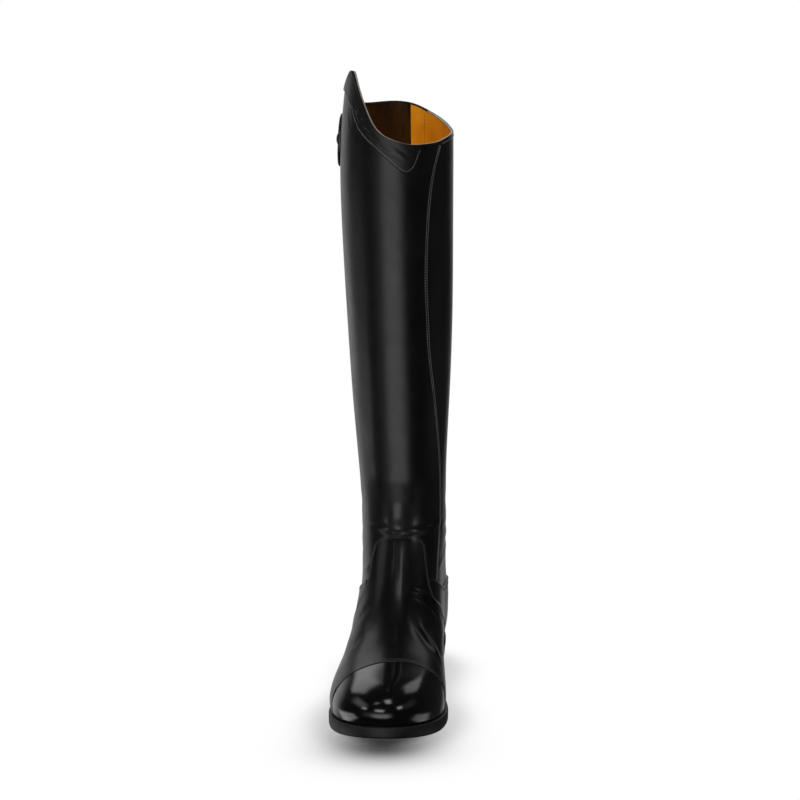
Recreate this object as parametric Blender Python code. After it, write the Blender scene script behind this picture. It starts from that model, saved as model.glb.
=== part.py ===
"""Dress riding boot for the wearer's right foot, standing empty and unbent on its sole.

Metres, +Z up. The origin lies on the floor under the heel, the toe points to -Y, and the
medial side is +X. Sizes below are in millimetres, which MM turns into metres.

The upper is one surface of closed loops. Each loop lies in a tilted plane between a point
on the front line, from toe tip to collar, and one on the back line, from heel seat to collar.
A place on it is (angle, level): the angle in degrees runs from the front over the lateral
side, so -90 is medial, and the level is the mean run of front and back line up from the
feather line, where upper and sole meet.
"""

import math
from collections import namedtuple

import bmesh
import bpy
import numpy as np
from mathutils import Matrix, Vector

MM = 0.001

# Main sizes
WALL = 2.2
GAP = 0.35
SOLE_MARGIN = 2.4
TOE_SPRING = 7.5
FOREFOOT_FLAT = (-186.0, -146.0)
HEEL_BREAST_Y = -27.0
HEEL_TAPER = 2.6
INSOLE_THICKNESS = 3.0
RIM_LOW_Z = 453.0
TOE_SWING = 3.5
SWING_TOP_LEVEL = 150.0

# What the foot's overlays leave of the outline, and how far they stand out from the wall
OVERLAY_DEPTH = 1.3
CAP_RAISE = 1.15
OVERLAY_RAISE = 1.4
OVERLAY_GAP = 0.5
EDGE_GAP = 0.7
FEATHER_CLEARANCE = 0.7
PANEL_LAP = 0.4
TOP_PANEL_RAISE = 1.65

# Sections of the outer surface, from the feather line up. The half widths are at ball, waist
# and heel, lateral then medial. Sag is the share of the sole's curve that a section follows.
Section = namedtuple(
    "Section",
    "front_y front_z back_y back_z sag ball_out waist_out heel_out ball_in waist_in heel_in"
    " toe_full heel_full shift",
)
SECTIONS = (
    Section(-239.5, 16.5, 33.5, 33.0, 1.00, 48.5, 36.5, 31.5, 42.0, 29.5, 31.5, 0.27, 0.46, 0.0),
    Section(-243.0, 26.0, 36.5, 44.0, 0.90, 50.0, 39.0, 33.6, 42.4, 33.0, 34.0, 0.27, 0.46, 0.0),
    Section(-238.5, 37.0, 37.5, 52.0, 0.72, 47.2, 38.8, 34.0, 41.0, 34.4, 35.0, 0.25, 0.44, 0.0),
    Section(-226.0, 46.0, 37.2, 58.0, 0.54, 42.4, 37.6, 33.8, 39.0, 35.2, 35.0, 0.20, 0.40, 0.0),
    Section(-208.0, 52.0, 36.4, 63.5, 0.38, 39.4, 36.4, 33.2, 37.4, 35.6, 34.8, 0.10, 0.40, 0.0),
    Section(-187.0, 57.5, 35.2, 69.0, 0.25, 36.8, 35.8, 32.4, 36.2, 35.6, 34.4, 0.04, 0.30, 0.0),
    Section(-161.0, 67.0, 33.5, 76.0, 0.12, 35.2, 35.0, 31.6, 33.8, 35.4, 33.6, 0.00, 0.28, 0.0),
    Section(-133.0, 84.0, 31.3, 85.0, 0.03, 32.8, 34.6, 30.7, 32.4, 35.2, 32.8, 0.00, 0.26, 0.0),
    Section(-108.0, 108.0, 29.0, 97.5, 0.0, 31.6, 34.8, 29.6, 31.6, 35.0, 31.0, 0.02, 0.24, 0.0),
    Section(-90.0, 132.0, 27.3, 114.0, 0.0, 31.0, 34.6, 28.2, 31.2, 34.8, 29.4, 0.06, 0.20, 0.0),
    Section(-80.5, 156.0, 26.6, 137.0, 0.0, 31.6, 34.9, 27.2, 31.8, 34.6, 27.6, 0.10, 0.14, 0.0),
    Section(-77.0, 182.0, 27.8, 170.0, 0.0, 33.2, 36.4, 27.4, 32.6, 35.2, 26.9, 0.10, 0.10, -0.5),
    Section(-77.5, 230.0, 34.5, 226.0, 0.0, 36.6, 40.0, 29.8, 35.2, 38.4, 28.6, 0.06, 0.06, -1.6),
    Section(-80.0, 300.0, 45.5, 300.0, 0.0, 40.2, 43.6, 32.2, 38.9, 42.3, 31.3, 0.02, 0.02, -3.2),
    Section(-82.5, 380.0, 52.5, 380.0, 0.0, 42.6, 46.2, 34.2, 41.2, 44.4, 33.0, 0.0, 0.0, -5.0),
    Section(-84.0, 453.0, 53.0, 453.0, 0.0, 42.2, 45.4, 33.8, 42.4, 45.6, 33.8, 0.0, 0.0, -6.2),
    Section(-84.5, 520.0, 50.0, 520.0, 0.0, 35.8, 38.6, 30.5, 41.6, 45.0, 33.2, 0.0, 0.0, -6.2),
)
FIRST_UPRIGHT = 13
BALL, WAIST, HEEL = 0.30, 0.56, 0.84

# Top of the sole and its underside, along the foot
SoleRow = namedtuple("SoleRow", "y top")
SOLE_TOP = (
    SoleRow(-242, 17.0), SoleRow(-215, 13.2), SoleRow(-190, 10.6), SoleRow(-165, 9.5),
    SoleRow(-140, 9.9), SoleRow(-110, 13.2), SoleRow(-80, 19.8), SoleRow(-50, 27.0),
    SoleRow(-25, 31.0), SoleRow(0, 32.6), SoleRow(36, 33.0),
)
ArchRow = namedtuple("ArchRow", "y bottom")
ARCH = (
    ArchRow(-146, 0.0), ArchRow(-128, 0.9), ArchRow(-110, 3.9), ArchRow(-80, 11.2),
    ArchRow(-50, 19.2), ArchRow(-25, 23.8), ArchRow(0, 26.0), ArchRow(40, 26.6),
)

# Rise of the collar over its lowest point, round the leg: a peak on the lateral front
RimRow = namedtuple("RimRow", "angle rise")
RIM = (
    RimRow(0, 4.5), RimRow(20, 15), RimRow(34, 32), RimRow(48, 49), RimRow(57, 56.5),
    RimRow(63, 53.5), RimRow(76, 43), RimRow(92, 35), RimRow(115, 25), RimRow(141, 20),
    RimRow(180, 19.6), RimRow(192, 18), RimRow(212, 12.5), RimRow(230, 7.8), RimRow(251, 3.4),
    RimRow(270, 2.6), RimRow(292, 2.0), RimRow(310, 0.3), RimRow(327, 0.0), RimRow(342, 0.5),
    RimRow(360, 4.5),
)

# Edge lines of the overlays and seams, as places on the surface
Edge = namedtuple("Edge", "angle level")
CAP_EDGE = (
    Edge(-62.5, 12.5), Edge(-60, 18.2), Edge(-55.5, 24), Edge(-49, 31.3), Edge(-42.5, 38),
    Edge(-34, 45.5), Edge(-24.5, 51.8), Edge(-16, 55), Edge(-4, 56.3), Edge(9.5, 54.7),
    Edge(20, 50.4), Edge(30.5, 43.1), Edge(39.5, 34.2), Edge(46, 24.8), Edge(50, 13.6),
)
VAMP_EDGE = (
    Edge(-113, 14), Edge(-105, 34), Edge(-94, 52), Edge(-78, 71.5), Edge(-63.5, 88.5),
    Edge(-52, 100.6), Edge(-43.5, 115.5), Edge(-39, 127), Edge(-35, 137), Edge(-27.5, 142),
    Edge(-12, 144.8), Edge(11.5, 144.9), Edge(25, 142.4), Edge(33.5, 138), Edge(40, 127.5),
    Edge(44, 114.2), Edge(54, 101), Edge(62, 90), Edge(70, 75.5), Edge(80, 56), Edge(91, 36),
    Edge(101, 14),
)
COUNTER_TOP = (
    Edge(50, 110.5), Edge(58, 106.5), Edge(71, 100.8), Edge(90, 92), Edge(120, 86),
    Edge(180, 85), Edge(240, 85.5), Edge(256.5, 87.5), Edge(278, 97), Edge(299.5, 108),
    Edge(312, 112),
)
TOP_PANEL_EDGE = (
    Edge(-29.5, 471.5), Edge(-26, 465), Edge(-22.5, 458), Edge(-18, 453.5), Edge(-12.5, 452),
    Edge(-7.5, 454), Edge(0, 459), Edge(9.5, 466), Edge(19.5, 473), Edge(28, 478.5),
    Edge(38, 486.3), Edge(46.5, 496.7), Edge(60, 507.5), Edge(75.5, 512.2), Edge(84, 510.8),
)
SeamRow = namedtuple("SeamRow", "level angle")
MEDIAL_SEAM = (
    SeamRow(150, -66), SeamRow(186, -63.5), SeamRow(209, -60.5), SeamRow(230, -56),
    SeamRow(250, -51), SeamRow(278, -44.5), SeamRow(300, -40), SeamRow(328, -37.5),
    SeamRow(354, -36), SeamRow(387, -36.5), SeamRow(407, -38), SeamRow(422, -39.5),
    SeamRow(435, -41.5), SeamRow(455, -47), SeamRow(471, -54), SeamRow(500, -62),
)

SPUR_ANGLES = (130.0, 230.0)
SPUR_REACH = 3.4
SPUR_BAND = (11.0, 3.5)
SPUR_FADE = 5.0

# Back closure: zip, elastic gusset on its lateral side, and the snap tab over both
ZIP_ANGLES = (174.4, 185.6)
ZIP_THICKNESS = 1.5
ZIP_FOOT_LEVEL = 98.0
GUSSET_ANGLES = (150.0, 173.8)
GUSSET_FOOT_ANGLE = 166.0
GUSSET_FOOT_LEVEL = 205.0
GUSSET_THICKNESS = 0.8
TAB_ANGLES = (85.0, 197.0)
TAB_Z = (425.0, 469.0)
TAB_THICKNESS = 2.0
TAB_TIP_RUN = 13.0
TAB_TIP_START = 0.8
TAB_GAP = 0.4
TAB_MEDIAL_SEAT = 0.25
TAB_RISE_TO_GUSSET = (138.0, 148.0)
TAB_RISE_TO_ZIP = (166.0, 173.0)
TAB_DROP_BEHIND_ZIP = (187.0, 193.0)
SNAP_ANGLE = 103.0
SNAP_RADIUS = 6.0
SNAP_HEIGHT = 3.0
SNAP_GAP = 0.75
SnapRow = namedtuple("SnapRow", "radius_share height_share")
SNAP_PROFILE = (SnapRow(0.86, 0.0), SnapRow(1.0, 0.17), SnapRow(0.9, 0.46), SnapRow(0.6, 0.84))
SLIDER_Z = 396.0
SLIDER_SIZE = (9.0, 2.6, 12.0)
BRIDGE_WIDTH = 1.6
BRIDGE_REACH = 3.0
BRIDGE_SPAN = (-4.2, 4.2)
BRIDGE_BAR = 1.0
PULL_AXIS_OUT = 1.0
PULL_LENGTH = 22.0
PULL_WIDTH = 6.4
PULL_THICKNESS = 1.2
PULL_WINDOW = (3.2, 8.2)
PULL_SLOT = (2.56, 3.4)
PULL_SLOT_FROM_END = 4.0

# Sides of the sole parts from the bottom up: height over a base, and inset from the full outline
SideRing = namedtuple("SideRing", "base height inset")
OUTSOLE_SIDE = (
    SideRing("bottom", 0.0, 1.6), SideRing("bottom", 1.1, 0.3), SideRing("top", -1.9, 0.0),
    SideRing("top", -GAP, 0.7),
)
HEEL_SIDE = (
    SideRing("floor", 0.0, HEEL_TAPER + 1.2), SideRing("floor", 1.2, HEEL_TAPER),
    SideRing("floor", 8.0, HEEL_TAPER * 0.9), SideRing("seat", -1.0, 0.6), SideRing("seat", 0.0, 1.0),
)
INSOLE_SIDE = (
    SideRing("top", 0.0, 0.4), SideRing("top", 0.8, 0.0), SideRing("top", INSOLE_THICKNESS - 0.6, 0.0),
    SideRing("top", INSOLE_THICKNESS, 0.8),
)
INSOLE_MARGIN = -(OVERLAY_DEPTH + WALL + GAP + 0.2)

# Mesh grid of the upper, which the overlays share
UPPER_COLUMNS = 45
SEAM_HOME = -62.0
SEAM_PULL_REACH = 70.0
GRID_LEVELS = (
    0, 5, 10, 15.5, 21, 27, 34, 42, 52, 63, 75, 88, 101, 114, 127, 140, 154, 170, 188, 210,
    238, 275, 320, 370, 415,
)
COLLAR_ROWS = 3
LEAST_COLUMN_STEP = 1.2
CORNER_STEP = 0.5
COUNTER_FOOT_STEP = 0.8

# Levels between which the room for overlays runs out, the medial lap grows and the seam pulls
OVERLAY_FADE = (100.0, 150.0)
LAP_FADE = (150.0, 170.0)
SEAM_PULL_FADE = (110.0, 150.0)
# Angles behind which the lap of the front panel sinks to that of the medial one
FRONT_PANEL_END = 150.0
LAP_TURN = 20.0


class Curve:
    """Natural cubic through (at, value) rows; a value may be an array."""

    def __init__(self, at, values):
        self.at = np.asarray(at, float)
        self.values = np.asarray(values, float)
        count = len(self.at)
        self.step = np.diff(self.at)
        matrix = np.zeros((count, count))
        right = np.zeros(self.values.shape)
        matrix[0, 0] = matrix[-1, -1] = 1.0
        slope = (np.diff(self.values, axis=0).T / self.step).T
        for i in range(1, count - 1):
            matrix[i, i - 1 : i + 2] = (
                self.step[i - 1],
                2 * (self.step[i - 1] + self.step[i]),
                self.step[i],
            )
            right[i] = 6 * (slope[i] - slope[i - 1])
        self.bend = np.linalg.solve(matrix, right)

    def __call__(self, at):
        i = min(max(int(np.searchsorted(self.at, at, side="right")) - 1, 0), len(self.step) - 1)
        step = self.step[i]
        a = (self.at[i + 1] - at) / step
        b = 1 - a
        bent = (a**3 - a) * self.bend[i] + (b**3 - b) * self.bend[i + 1]
        return a * self.values[i] + b * self.values[i + 1] + bent * step**2 / 6


def smooth(x):
    """0 below 0, 1 above 1, and a soft rise between."""
    x = min(max(x, 0.0), 1.0)
    return x * x * (3 - 2 * x)


def rise(x, start, end):
    """Soft step from 0 at start to 1 at end."""
    return smooth((x - start) / (end - start))


def section_levels():
    levels = [0.0]
    for low, high in zip(SECTIONS, SECTIONS[1:]):
        front = math.hypot(high.front_y - low.front_y, high.front_z - low.front_z)
        back = math.hypot(high.back_y - low.back_y, high.back_z - low.back_z)
        levels.append(levels[-1] + (front + back) / 2)
    return levels


LEVELS = section_levels()
SECTION_AT = Curve(LEVELS, SECTIONS)
STATION_SHARE = Curve((0.0, BALL, WAIST, HEEL, 1.0), np.eye(5))
SOLE_TOP_AT = Curve(*zip(*SOLE_TOP))
ARCH_AT = Curve(*zip(*ARCH))
RIM_AT = Curve(*zip(*RIM))
SEAM_AT = Curve(*zip(*MEDIAL_SEAM))


def edge_level(edge, angle):
    """Level of an edge line at an angle, straight between its rows."""
    return float(np.interp(angle, [row.angle for row in edge], [row.level for row in edge]))


def station_width(row, lateral, station, u):
    """Half width at a station over that of a plain ellipse there, so that it can be blended."""
    width = getattr(row, station + ("_out" if lateral else "_in"))
    return width / (math.sin(math.acos(1 - 2 * u)) * fullness(row, u))


def fullness(row, u):
    return 1 + row.toe_full * (1 - u) ** 5 + row.heel_full * u**5


def surface(angle, level):
    """Point of the outer surface in millimetres."""
    row = Section(*SECTION_AT(level))
    turn = math.radians(angle % 360)
    u = (1 - math.cos(turn)) / 2
    lateral = angle % 360 < 180
    ball = station_width(row, lateral, "ball", BALL)
    waist = station_width(row, lateral, "waist", WAIST)
    heel = station_width(row, lateral, "heel", HEEL)
    width = float(STATION_SHARE(u) @ (ball, ball, waist, heel, heel))
    swing = TOE_SWING * (1 - u) ** 3 * max(1 - level / SWING_TOP_LEVEL, 0)
    x = row.shift - swing - math.sin(turn) * fullness(row, u) * width
    y = row.front_y + (row.back_y - row.front_y) * u
    z = row.front_z + (row.back_z - row.front_z) * u
    first = SECTIONS[0]
    along = min(max(y, first.front_y), first.back_y)
    share = (along - first.front_y) / (first.back_y - first.front_y)
    chord = first.front_z + (first.back_z - first.front_z) * share
    return Vector((x, y, z + row.sag * (float(SOLE_TOP_AT(along)) - chord)))


def outward(angle, level):
    across = surface(angle + 0.5, level) - surface(angle - 0.5, level)
    along = surface(angle, level + 0.5) - surface(angle, level - 0.5)
    return along.cross(across).normalized()


def place(angle, level, offset):
    """Point of the surface moved out by an offset, in millimetres."""
    return surface(angle, level) + outward(angle, level) * offset


def level_at_height(z):
    heights = [row.front_z for row in SECTIONS[FIRST_UPRIGHT:]]
    return float(np.interp(z, heights, LEVELS[FIRST_UPRIGHT:]))


def rim_level(angle):
    return level_at_height(RIM_LOW_Z + float(RIM_AT(angle % 360)))


def wall_depth(level):
    """How far the upper's own wall lies inside the outline, to leave room for the overlays."""
    return OVERLAY_DEPTH * (1 - rise(level, *OVERLAY_FADE))


def seam_angle(level):
    return float(SEAM_AT(max(level, MEDIAL_SEAM[0].level)))


def panel_step(angle, level):
    """The front panel laps over the medial one at the medial seam, and both end at the zip."""
    turned = (angle - seam_angle(level)) % 360
    back = FRONT_PANEL_END - seam_angle(level)
    if turned < 1e-6:
        share = -1.0
    elif turned < back:
        share = 1.0
    else:
        share = max(1 - (turned - back) / LAP_TURN, -1.0)
    return PANEL_LAP * share * rise(level, *LAP_FADE)


def add_material(obj, colour, roughness, metallic=0.0):
    material = bpy.data.materials.new(obj.name)
    material.use_nodes = True
    shader = material.node_tree.nodes["Principled BSDF"]
    shader.inputs["Base Color"].default_value = (*colour, 1.0)
    shader.inputs["Roughness"].default_value = roughness
    shader.inputs["Metallic"].default_value = metallic
    material.diffuse_color = (*colour, 1.0)
    obj.data.materials.append(material)


def add_mesh(name, points, faces):
    """One object from points in millimetres and faces."""
    mesh = bpy.data.meshes.new(name)
    mesh.from_pydata([Vector(point) * MM for point in points], [], faces)
    form = bmesh.new()
    form.from_mesh(mesh)
    bmesh.ops.remove_doubles(form, verts=form.verts, dist=1e-7)
    bmesh.ops.recalc_face_normals(form, faces=form.faces)
    for face in form.faces:
        face.smooth = True
    form.to_mesh(mesh)
    form.free()
    obj = bpy.data.objects.new(name, mesh)
    bpy.context.scene.collection.objects.link(obj)
    return obj


def grid_wall(name, inner, outer, ring):
    """Closed wall between two grids of points [column][row]; ring joins last column to first."""
    columns = len(outer)
    rows = len(outer[0])
    points = [point for grid in (inner, outer) for column in grid for point in column]

    def index(grid, column, row):
        return (grid * columns + column % columns) * rows + row

    faces = []
    last = columns if ring else columns - 1
    for i in range(last):
        for j in range(rows - 1):
            for grid, low, high in ((1, j, j + 1), (0, j + 1, j)):
                faces.append(
                    [
                        index(grid, i, low),
                        index(grid, i + 1, low),
                        index(grid, i + 1, high),
                        index(grid, i, high),
                    ]
                )
        for j in (0, rows - 1):
            faces.append([index(0, i, j), index(0, i + 1, j), index(1, i + 1, j), index(1, i, j)])
    if not ring:
        for i in (0, columns - 1):
            for j in range(rows - 1):
                faces.append([index(0, i, j), index(1, i, j), index(1, i, j + 1), index(0, i, j + 1)])
    return add_mesh(name, points, faces)


def patch(name, angles, levels, low, high, inner, outer):
    """Overlay between two edge lines: each column keeps the levels that lie between them."""
    grids = ([], [])
    for angle in angles:
        bottom = low(angle)
        top = high(angle)
        column = [min(max(level, bottom), top) for level in (bottom, *levels, top)]
        for grid, offset in zip(grids, (inner, outer)):
            grid.append([place(angle, level, offset(angle, level)) for level in column])
    return grid_wall(name, *grids, ring=False)


def grid_angles(first, last, extra=()):
    """The upper's own columns between two angles, with both ends and any extra ones."""
    step = 360 / UPPER_COLUMNS
    home = [SEAM_HOME + step * i for i in range(-UPPER_COLUMNS, 2 * UPPER_COLUMNS)]
    found = [first, last, *(angle for angle in extra if first < angle < last)]
    for angle in home:
        clear = min(abs(angle - other) for other in found) > LEAST_COLUMN_STEP
        if first < angle < last and clear:
            found.append(angle)
    return sorted(found)


def spread(first, last, step):
    """Even values from first to last, at most a step apart."""
    count = max(int(math.ceil(abs(last - first) / step)), 1)
    return [first + (last - first) * i / count for i in range(count + 1)]


def seam_pull(turn, level):
    """How far a column is drawn round so that one of them follows the medial seam."""
    from_seam = (turn - SEAM_HOME + 180) % 360 - 180
    share = math.cos(math.radians(min(abs(from_seam) / SEAM_PULL_REACH, 1) * 90)) ** 2
    return share * rise(level, *SEAM_PULL_FADE) * (seam_angle(level) - SEAM_HOME)


def make_upper():
    turns = [SEAM_HOME + 360 * i / UPPER_COLUMNS for i in range(UPPER_COLUMNS)]
    turns.insert(1, SEAM_HOME + 1.0)
    inner, outer = [], []
    for turn in turns:
        inner_column, outer_column = [], []
        for row in range(len(GRID_LEVELS) + COLLAR_ROWS):
            level = GRID_LEVELS[min(row, len(GRID_LEVELS) - 1)]
            angle = turn + seam_pull(turn, level)
            if row >= len(GRID_LEVELS):
                share = (row + 1 - len(GRID_LEVELS)) / COLLAR_ROWS
                for _ in range(2):
                    level = GRID_LEVELS[-1] + (rim_level(angle) - GRID_LEVELS[-1]) * share
                    angle = turn + seam_pull(turn, level)
            step = panel_step(angle, level)
            if turn == SEAM_HOME:
                step = -PANEL_LAP * rise(level, *LAP_FADE)
            depth = wall_depth(level)
            outer_point = place(angle, level, step - depth)
            inner_point = place(angle, level, -depth - WALL)
            if row == 0:
                outer_point.z = float(SOLE_TOP_AT(outer_point.y))
                inner_point.z = float(SOLE_TOP_AT(inner_point.y))
            outer_column.append(outer_point)
            inner_column.append(inner_point)
        inner.append(inner_column)
        outer.append(outer_column)
    return grid_wall("upper", inner, outer, ring=True)


def foot_inner(angle, level):
    return OVERLAY_GAP - wall_depth(level)


def foot_outer(angle, level):
    return OVERLAY_RAISE - wall_depth(level)


def make_toe_cap():
    first, last = CAP_EDGE[0].angle, CAP_EDGE[-1].angle
    return patch(
        "toe_cap",
        grid_angles(first, last, [row.angle for row in CAP_EDGE]),
        GRID_LEVELS[1:],
        lambda angle: FEATHER_CLEARANCE,
        lambda angle: edge_level(CAP_EDGE, angle),
        foot_inner,
        lambda angle, level: CAP_RAISE - wall_depth(level),
    )


def make_vamp():
    cap_first, cap_last = CAP_EDGE[0].angle, CAP_EDGE[-1].angle

    def low(angle):
        if cap_first <= angle <= cap_last:
            return edge_level(CAP_EDGE, angle) + EDGE_GAP
        return FEATHER_CLEARANCE

    corners = [cap_first - CORNER_STEP, cap_first, cap_last, cap_last + CORNER_STEP]
    corners += [row.angle for row in (*CAP_EDGE[1:4], *CAP_EDGE[-4:-1], *VAMP_EDGE)]
    return patch(
        "vamp",
        grid_angles(VAMP_EDGE[0].angle, VAMP_EDGE[-1].angle, corners),
        GRID_LEVELS[1:],
        low,
        lambda angle: edge_level(VAMP_EDGE, angle),
        foot_inner,
        foot_outer,
    )


def make_counter():
    first, last = COUNTER_TOP[0].angle + 1, COUNTER_TOP[-1].angle - 1
    lateral_foot = VAMP_EDGE[-1].angle + COUNTER_FOOT_STEP
    medial_foot = 360 + VAMP_EDGE[0].angle - COUNTER_FOOT_STEP

    def low(angle):
        if angle < lateral_foot:
            return edge_level(VAMP_EDGE, angle) + EDGE_GAP
        if angle > medial_foot:
            return edge_level(VAMP_EDGE, angle - 360) + EDGE_GAP
        return FEATHER_CLEARANCE

    corners = [lateral_foot - CORNER_STEP, lateral_foot, medial_foot, medial_foot + CORNER_STEP]
    corners += [row.angle % 360 for row in VAMP_EDGE if first < row.angle % 360 < last]
    return patch(
        "counter",
        grid_angles(first, last, corners),
        GRID_LEVELS[1:],
        low,
        lambda angle: max(edge_level(COUNTER_TOP, angle), low(angle) + 1.5),
        foot_inner,
        foot_outer,
    )


def make_spur_rest():
    first, last = SPUR_ANGLES[0] - SPUR_FADE, SPUR_ANGLES[1] + SPUR_FADE

    def raise_at(angle):
        return SPUR_REACH * math.sin(math.pi * (angle - first) / (last - first)) ** 0.5

    return patch(
        "spur_rest",
        grid_angles(*SPUR_ANGLES),
        (),
        lambda angle: edge_level(COUNTER_TOP, angle) - SPUR_BAND[0],
        lambda angle: edge_level(COUNTER_TOP, angle) - SPUR_BAND[1],
        lambda angle, level: foot_outer(angle, level) + GAP,
        lambda angle, level: foot_outer(angle, level) + GAP + raise_at(angle),
    )


def make_top_panel():
    return patch(
        "top_panel",
        spread(TOP_PANEL_EDGE[0].angle, TOP_PANEL_EDGE[-1].angle, 5.0),
        (465, 485),
        lambda angle: edge_level(TOP_PANEL_EDGE, angle),
        lambda angle: max(rim_level(angle) - 0.5, edge_level(TOP_PANEL_EDGE, angle) + 1.0),
        lambda angle, level: PANEL_LAP + GAP,
        lambda angle, level: TOP_PANEL_RAISE,
    )


def make_zip():
    return patch(
        "zip",
        spread(*ZIP_ANGLES, 5.6),
        (*GRID_LEVELS, 445, 470),
        lambda angle: ZIP_FOOT_LEVEL,
        lambda angle: rim_level(angle) - 1.0,
        lambda angle, level: GAP,
        lambda angle, level: GAP + ZIP_THICKNESS,
    )


def make_gusset():
    top_level = rim_level(GUSSET_ANGLES[0])

    def edge_angle(level):
        share = smooth((level - GUSSET_FOOT_LEVEL) / (top_level - GUSSET_FOOT_LEVEL))
        return GUSSET_FOOT_ANGLE + (GUSSET_ANGLES[0] - GUSSET_FOOT_ANGLE) * share

    grids = ([], [])
    columns = 4
    rows = 14
    for i in range(columns + 1):
        for grid, offset in zip(grids, (0.0, GUSSET_THICKNESS)):
            points = []
            for j in range(rows + 1):
                level = GUSSET_FOOT_LEVEL + (top_level - 1.0 - GUSSET_FOOT_LEVEL) * j / rows
                edge = edge_angle(level)
                angle = edge + (GUSSET_ANGLES[1] - edge) * i / columns
                points.append(place(angle, level, panel_step(angle, level) + GAP + offset))
            grid.append(points)
    return grid_wall("elastic_gusset", *grids, ring=False)


def tab_seat(angle, level):
    """Inner offset of the snap tab: over the front panel, the gusset and the zip."""
    over_panel = PANEL_LAP + TAB_GAP
    over_gusset = PANEL_LAP + GAP + GUSSET_THICKNESS + GAP
    over_zip = GAP + ZIP_THICKNESS + TAB_GAP
    seat = over_panel + (over_gusset - over_panel) * rise(angle, *TAB_RISE_TO_GUSSET)
    seat += (over_zip - over_gusset) * rise(angle, *TAB_RISE_TO_ZIP)
    return seat + (TAB_MEDIAL_SEAT - over_zip) * rise(angle, *TAB_DROP_BEHIND_ZIP)


def make_snap_tab():
    middle = (TAB_Z[0] + TAB_Z[1]) / 2
    half = (TAB_Z[1] - TAB_Z[0]) / 2

    def half_height(angle):
        share = min((angle - TAB_ANGLES[0] + TAB_TIP_START) / TAB_TIP_RUN, 1.0)
        return half * math.sqrt(1 - (1 - share) ** 2)

    tip = [TAB_ANGLES[0] + TAB_TIP_RUN * (i / 7) ** 1.6 for i in range(8)]
    return patch(
        "snap_tab",
        tip + spread(tip[-1], TAB_ANGLES[1], 5.2)[1:],
        [level_at_height(middle)],
        lambda angle: level_at_height(middle - half_height(angle)),
        lambda angle: level_at_height(middle + half_height(angle)),
        tab_seat,
        lambda angle, level: tab_seat(angle, level) + TAB_THICKNESS,
    )


def make_snap():
    level = level_at_height((TAB_Z[0] + TAB_Z[1]) / 2)
    seat = tab_seat(SNAP_ANGLE, level) + TAB_THICKNESS + SNAP_GAP
    centre = place(SNAP_ANGLE, level, seat)
    turn = outward(SNAP_ANGLE, level).to_track_quat("Z", "Y").to_matrix()
    around = 20
    points = []
    for row in SNAP_PROFILE:
        radius = SNAP_RADIUS * row.radius_share
        for i in range(around):
            a = 2 * math.pi * i / around
            spot = Vector((radius * math.cos(a), radius * math.sin(a), SNAP_HEIGHT * row.height_share))
            points.append(centre + turn @ spot)
    points.append(centre + turn @ Vector((0, 0, SNAP_HEIGHT)))
    faces = [list(range(around))[::-1]]
    for i in range(around):
        j = (i + 1) % around
        for ring in range(len(SNAP_PROFILE) - 1):
            low = ring * around
            high = low + around
            faces.append([low + i, low + j, high + j, high + i])
        top = (len(SNAP_PROFILE) - 1) * around
        faces.append([top + i, top + j, len(points) - 1])
    return add_mesh("snap", points, faces)


def sole_outline(angle, margin):
    """Point of the feather line moved out level by a margin."""
    step = surface(angle + 0.5, 0) - surface(angle - 0.5, 0)
    side = Vector((step.y, -step.x, 0)).normalized()
    if side.dot(surface(angle, 0) - surface(angle + 180, 0)) < 0:
        side = -side
    return surface(angle, 0) + side * margin


def sole_bottom(y):
    front, back = FOREFOOT_FLAT
    if y < front:
        reach = front - SECTIONS[0].front_y + SOLE_MARGIN
        return TOE_SPRING * min((front - y) / reach, 1.05) ** 1.5
    if y <= back:
        return 0.0
    return max(float(ARCH_AT(y)), 0.0)


def sole_top(y):
    return float(SOLE_TOP_AT(min(max(y, SOLE_TOP[0].y), SOLE_TOP[-1].y)))


def side_height(base, y):
    """Height of a base surface of the sole at a place along the foot."""
    if base == "floor":
        return 0.0
    if base == "top":
        return sole_top(y)
    return sole_bottom(y) - (GAP if base == "seat" else 0.0)


def paired_slab(name, angles, margin, rings):
    """Slab from lateral and medial points at the same angles, ring by ring from the bottom up."""
    points, faces = [], []

    def index(ring, side, i):
        return (ring * 2 + side) * len(angles) + i

    for ring in rings:
        for side in (1, -1):
            for angle in angles:
                point = sole_outline(side * angle, margin - ring.inset)
                point.z = side_height(ring.base, point.y) + ring.height
                points.append(point)
    last = len(rings) - 1
    for low in range(last):
        high = low + 1
        for side in range(2):
            for i in range(len(angles) - 1):
                faces.append(
                    [
                        index(low, side, i),
                        index(low, side, i + 1),
                        index(high, side, i + 1),
                        index(high, side, i),
                    ]
                )
        for i in (0, len(angles) - 1):
            faces.append([index(low, 0, i), index(low, 1, i), index(high, 1, i), index(high, 0, i)])
    for ring in (0, last):
        for i in range(len(angles) - 1):
            faces.append([index(ring, 0, i), index(ring, 0, i + 1), index(ring, 1, i + 1), index(ring, 1, i)])
    return add_mesh(name, points, faces)


def outline_angles(first, last, count):
    return [first + (last - first) * i / count for i in range(count + 1)]


def make_outsole():
    return paired_slab("outsole", outline_angles(0.6, 179.4, 27), SOLE_MARGIN, OUTSOLE_SIDE)


def breast_angle():
    """Angle on the outline where the heel's front face meets it."""
    first = SECTIONS[0]
    u = (HEEL_BREAST_Y - first.front_y) / (first.back_y - first.front_y)
    return math.degrees(math.acos(1 - 2 * u))


def make_heel():
    return paired_slab("heel", outline_angles(breast_angle(), 179.4, 13), SOLE_MARGIN, HEEL_SIDE)


def make_insole():
    return paired_slab("insole", outline_angles(1.0, 179.0, 18), INSOLE_MARGIN, INSOLE_SIDE)


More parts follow.
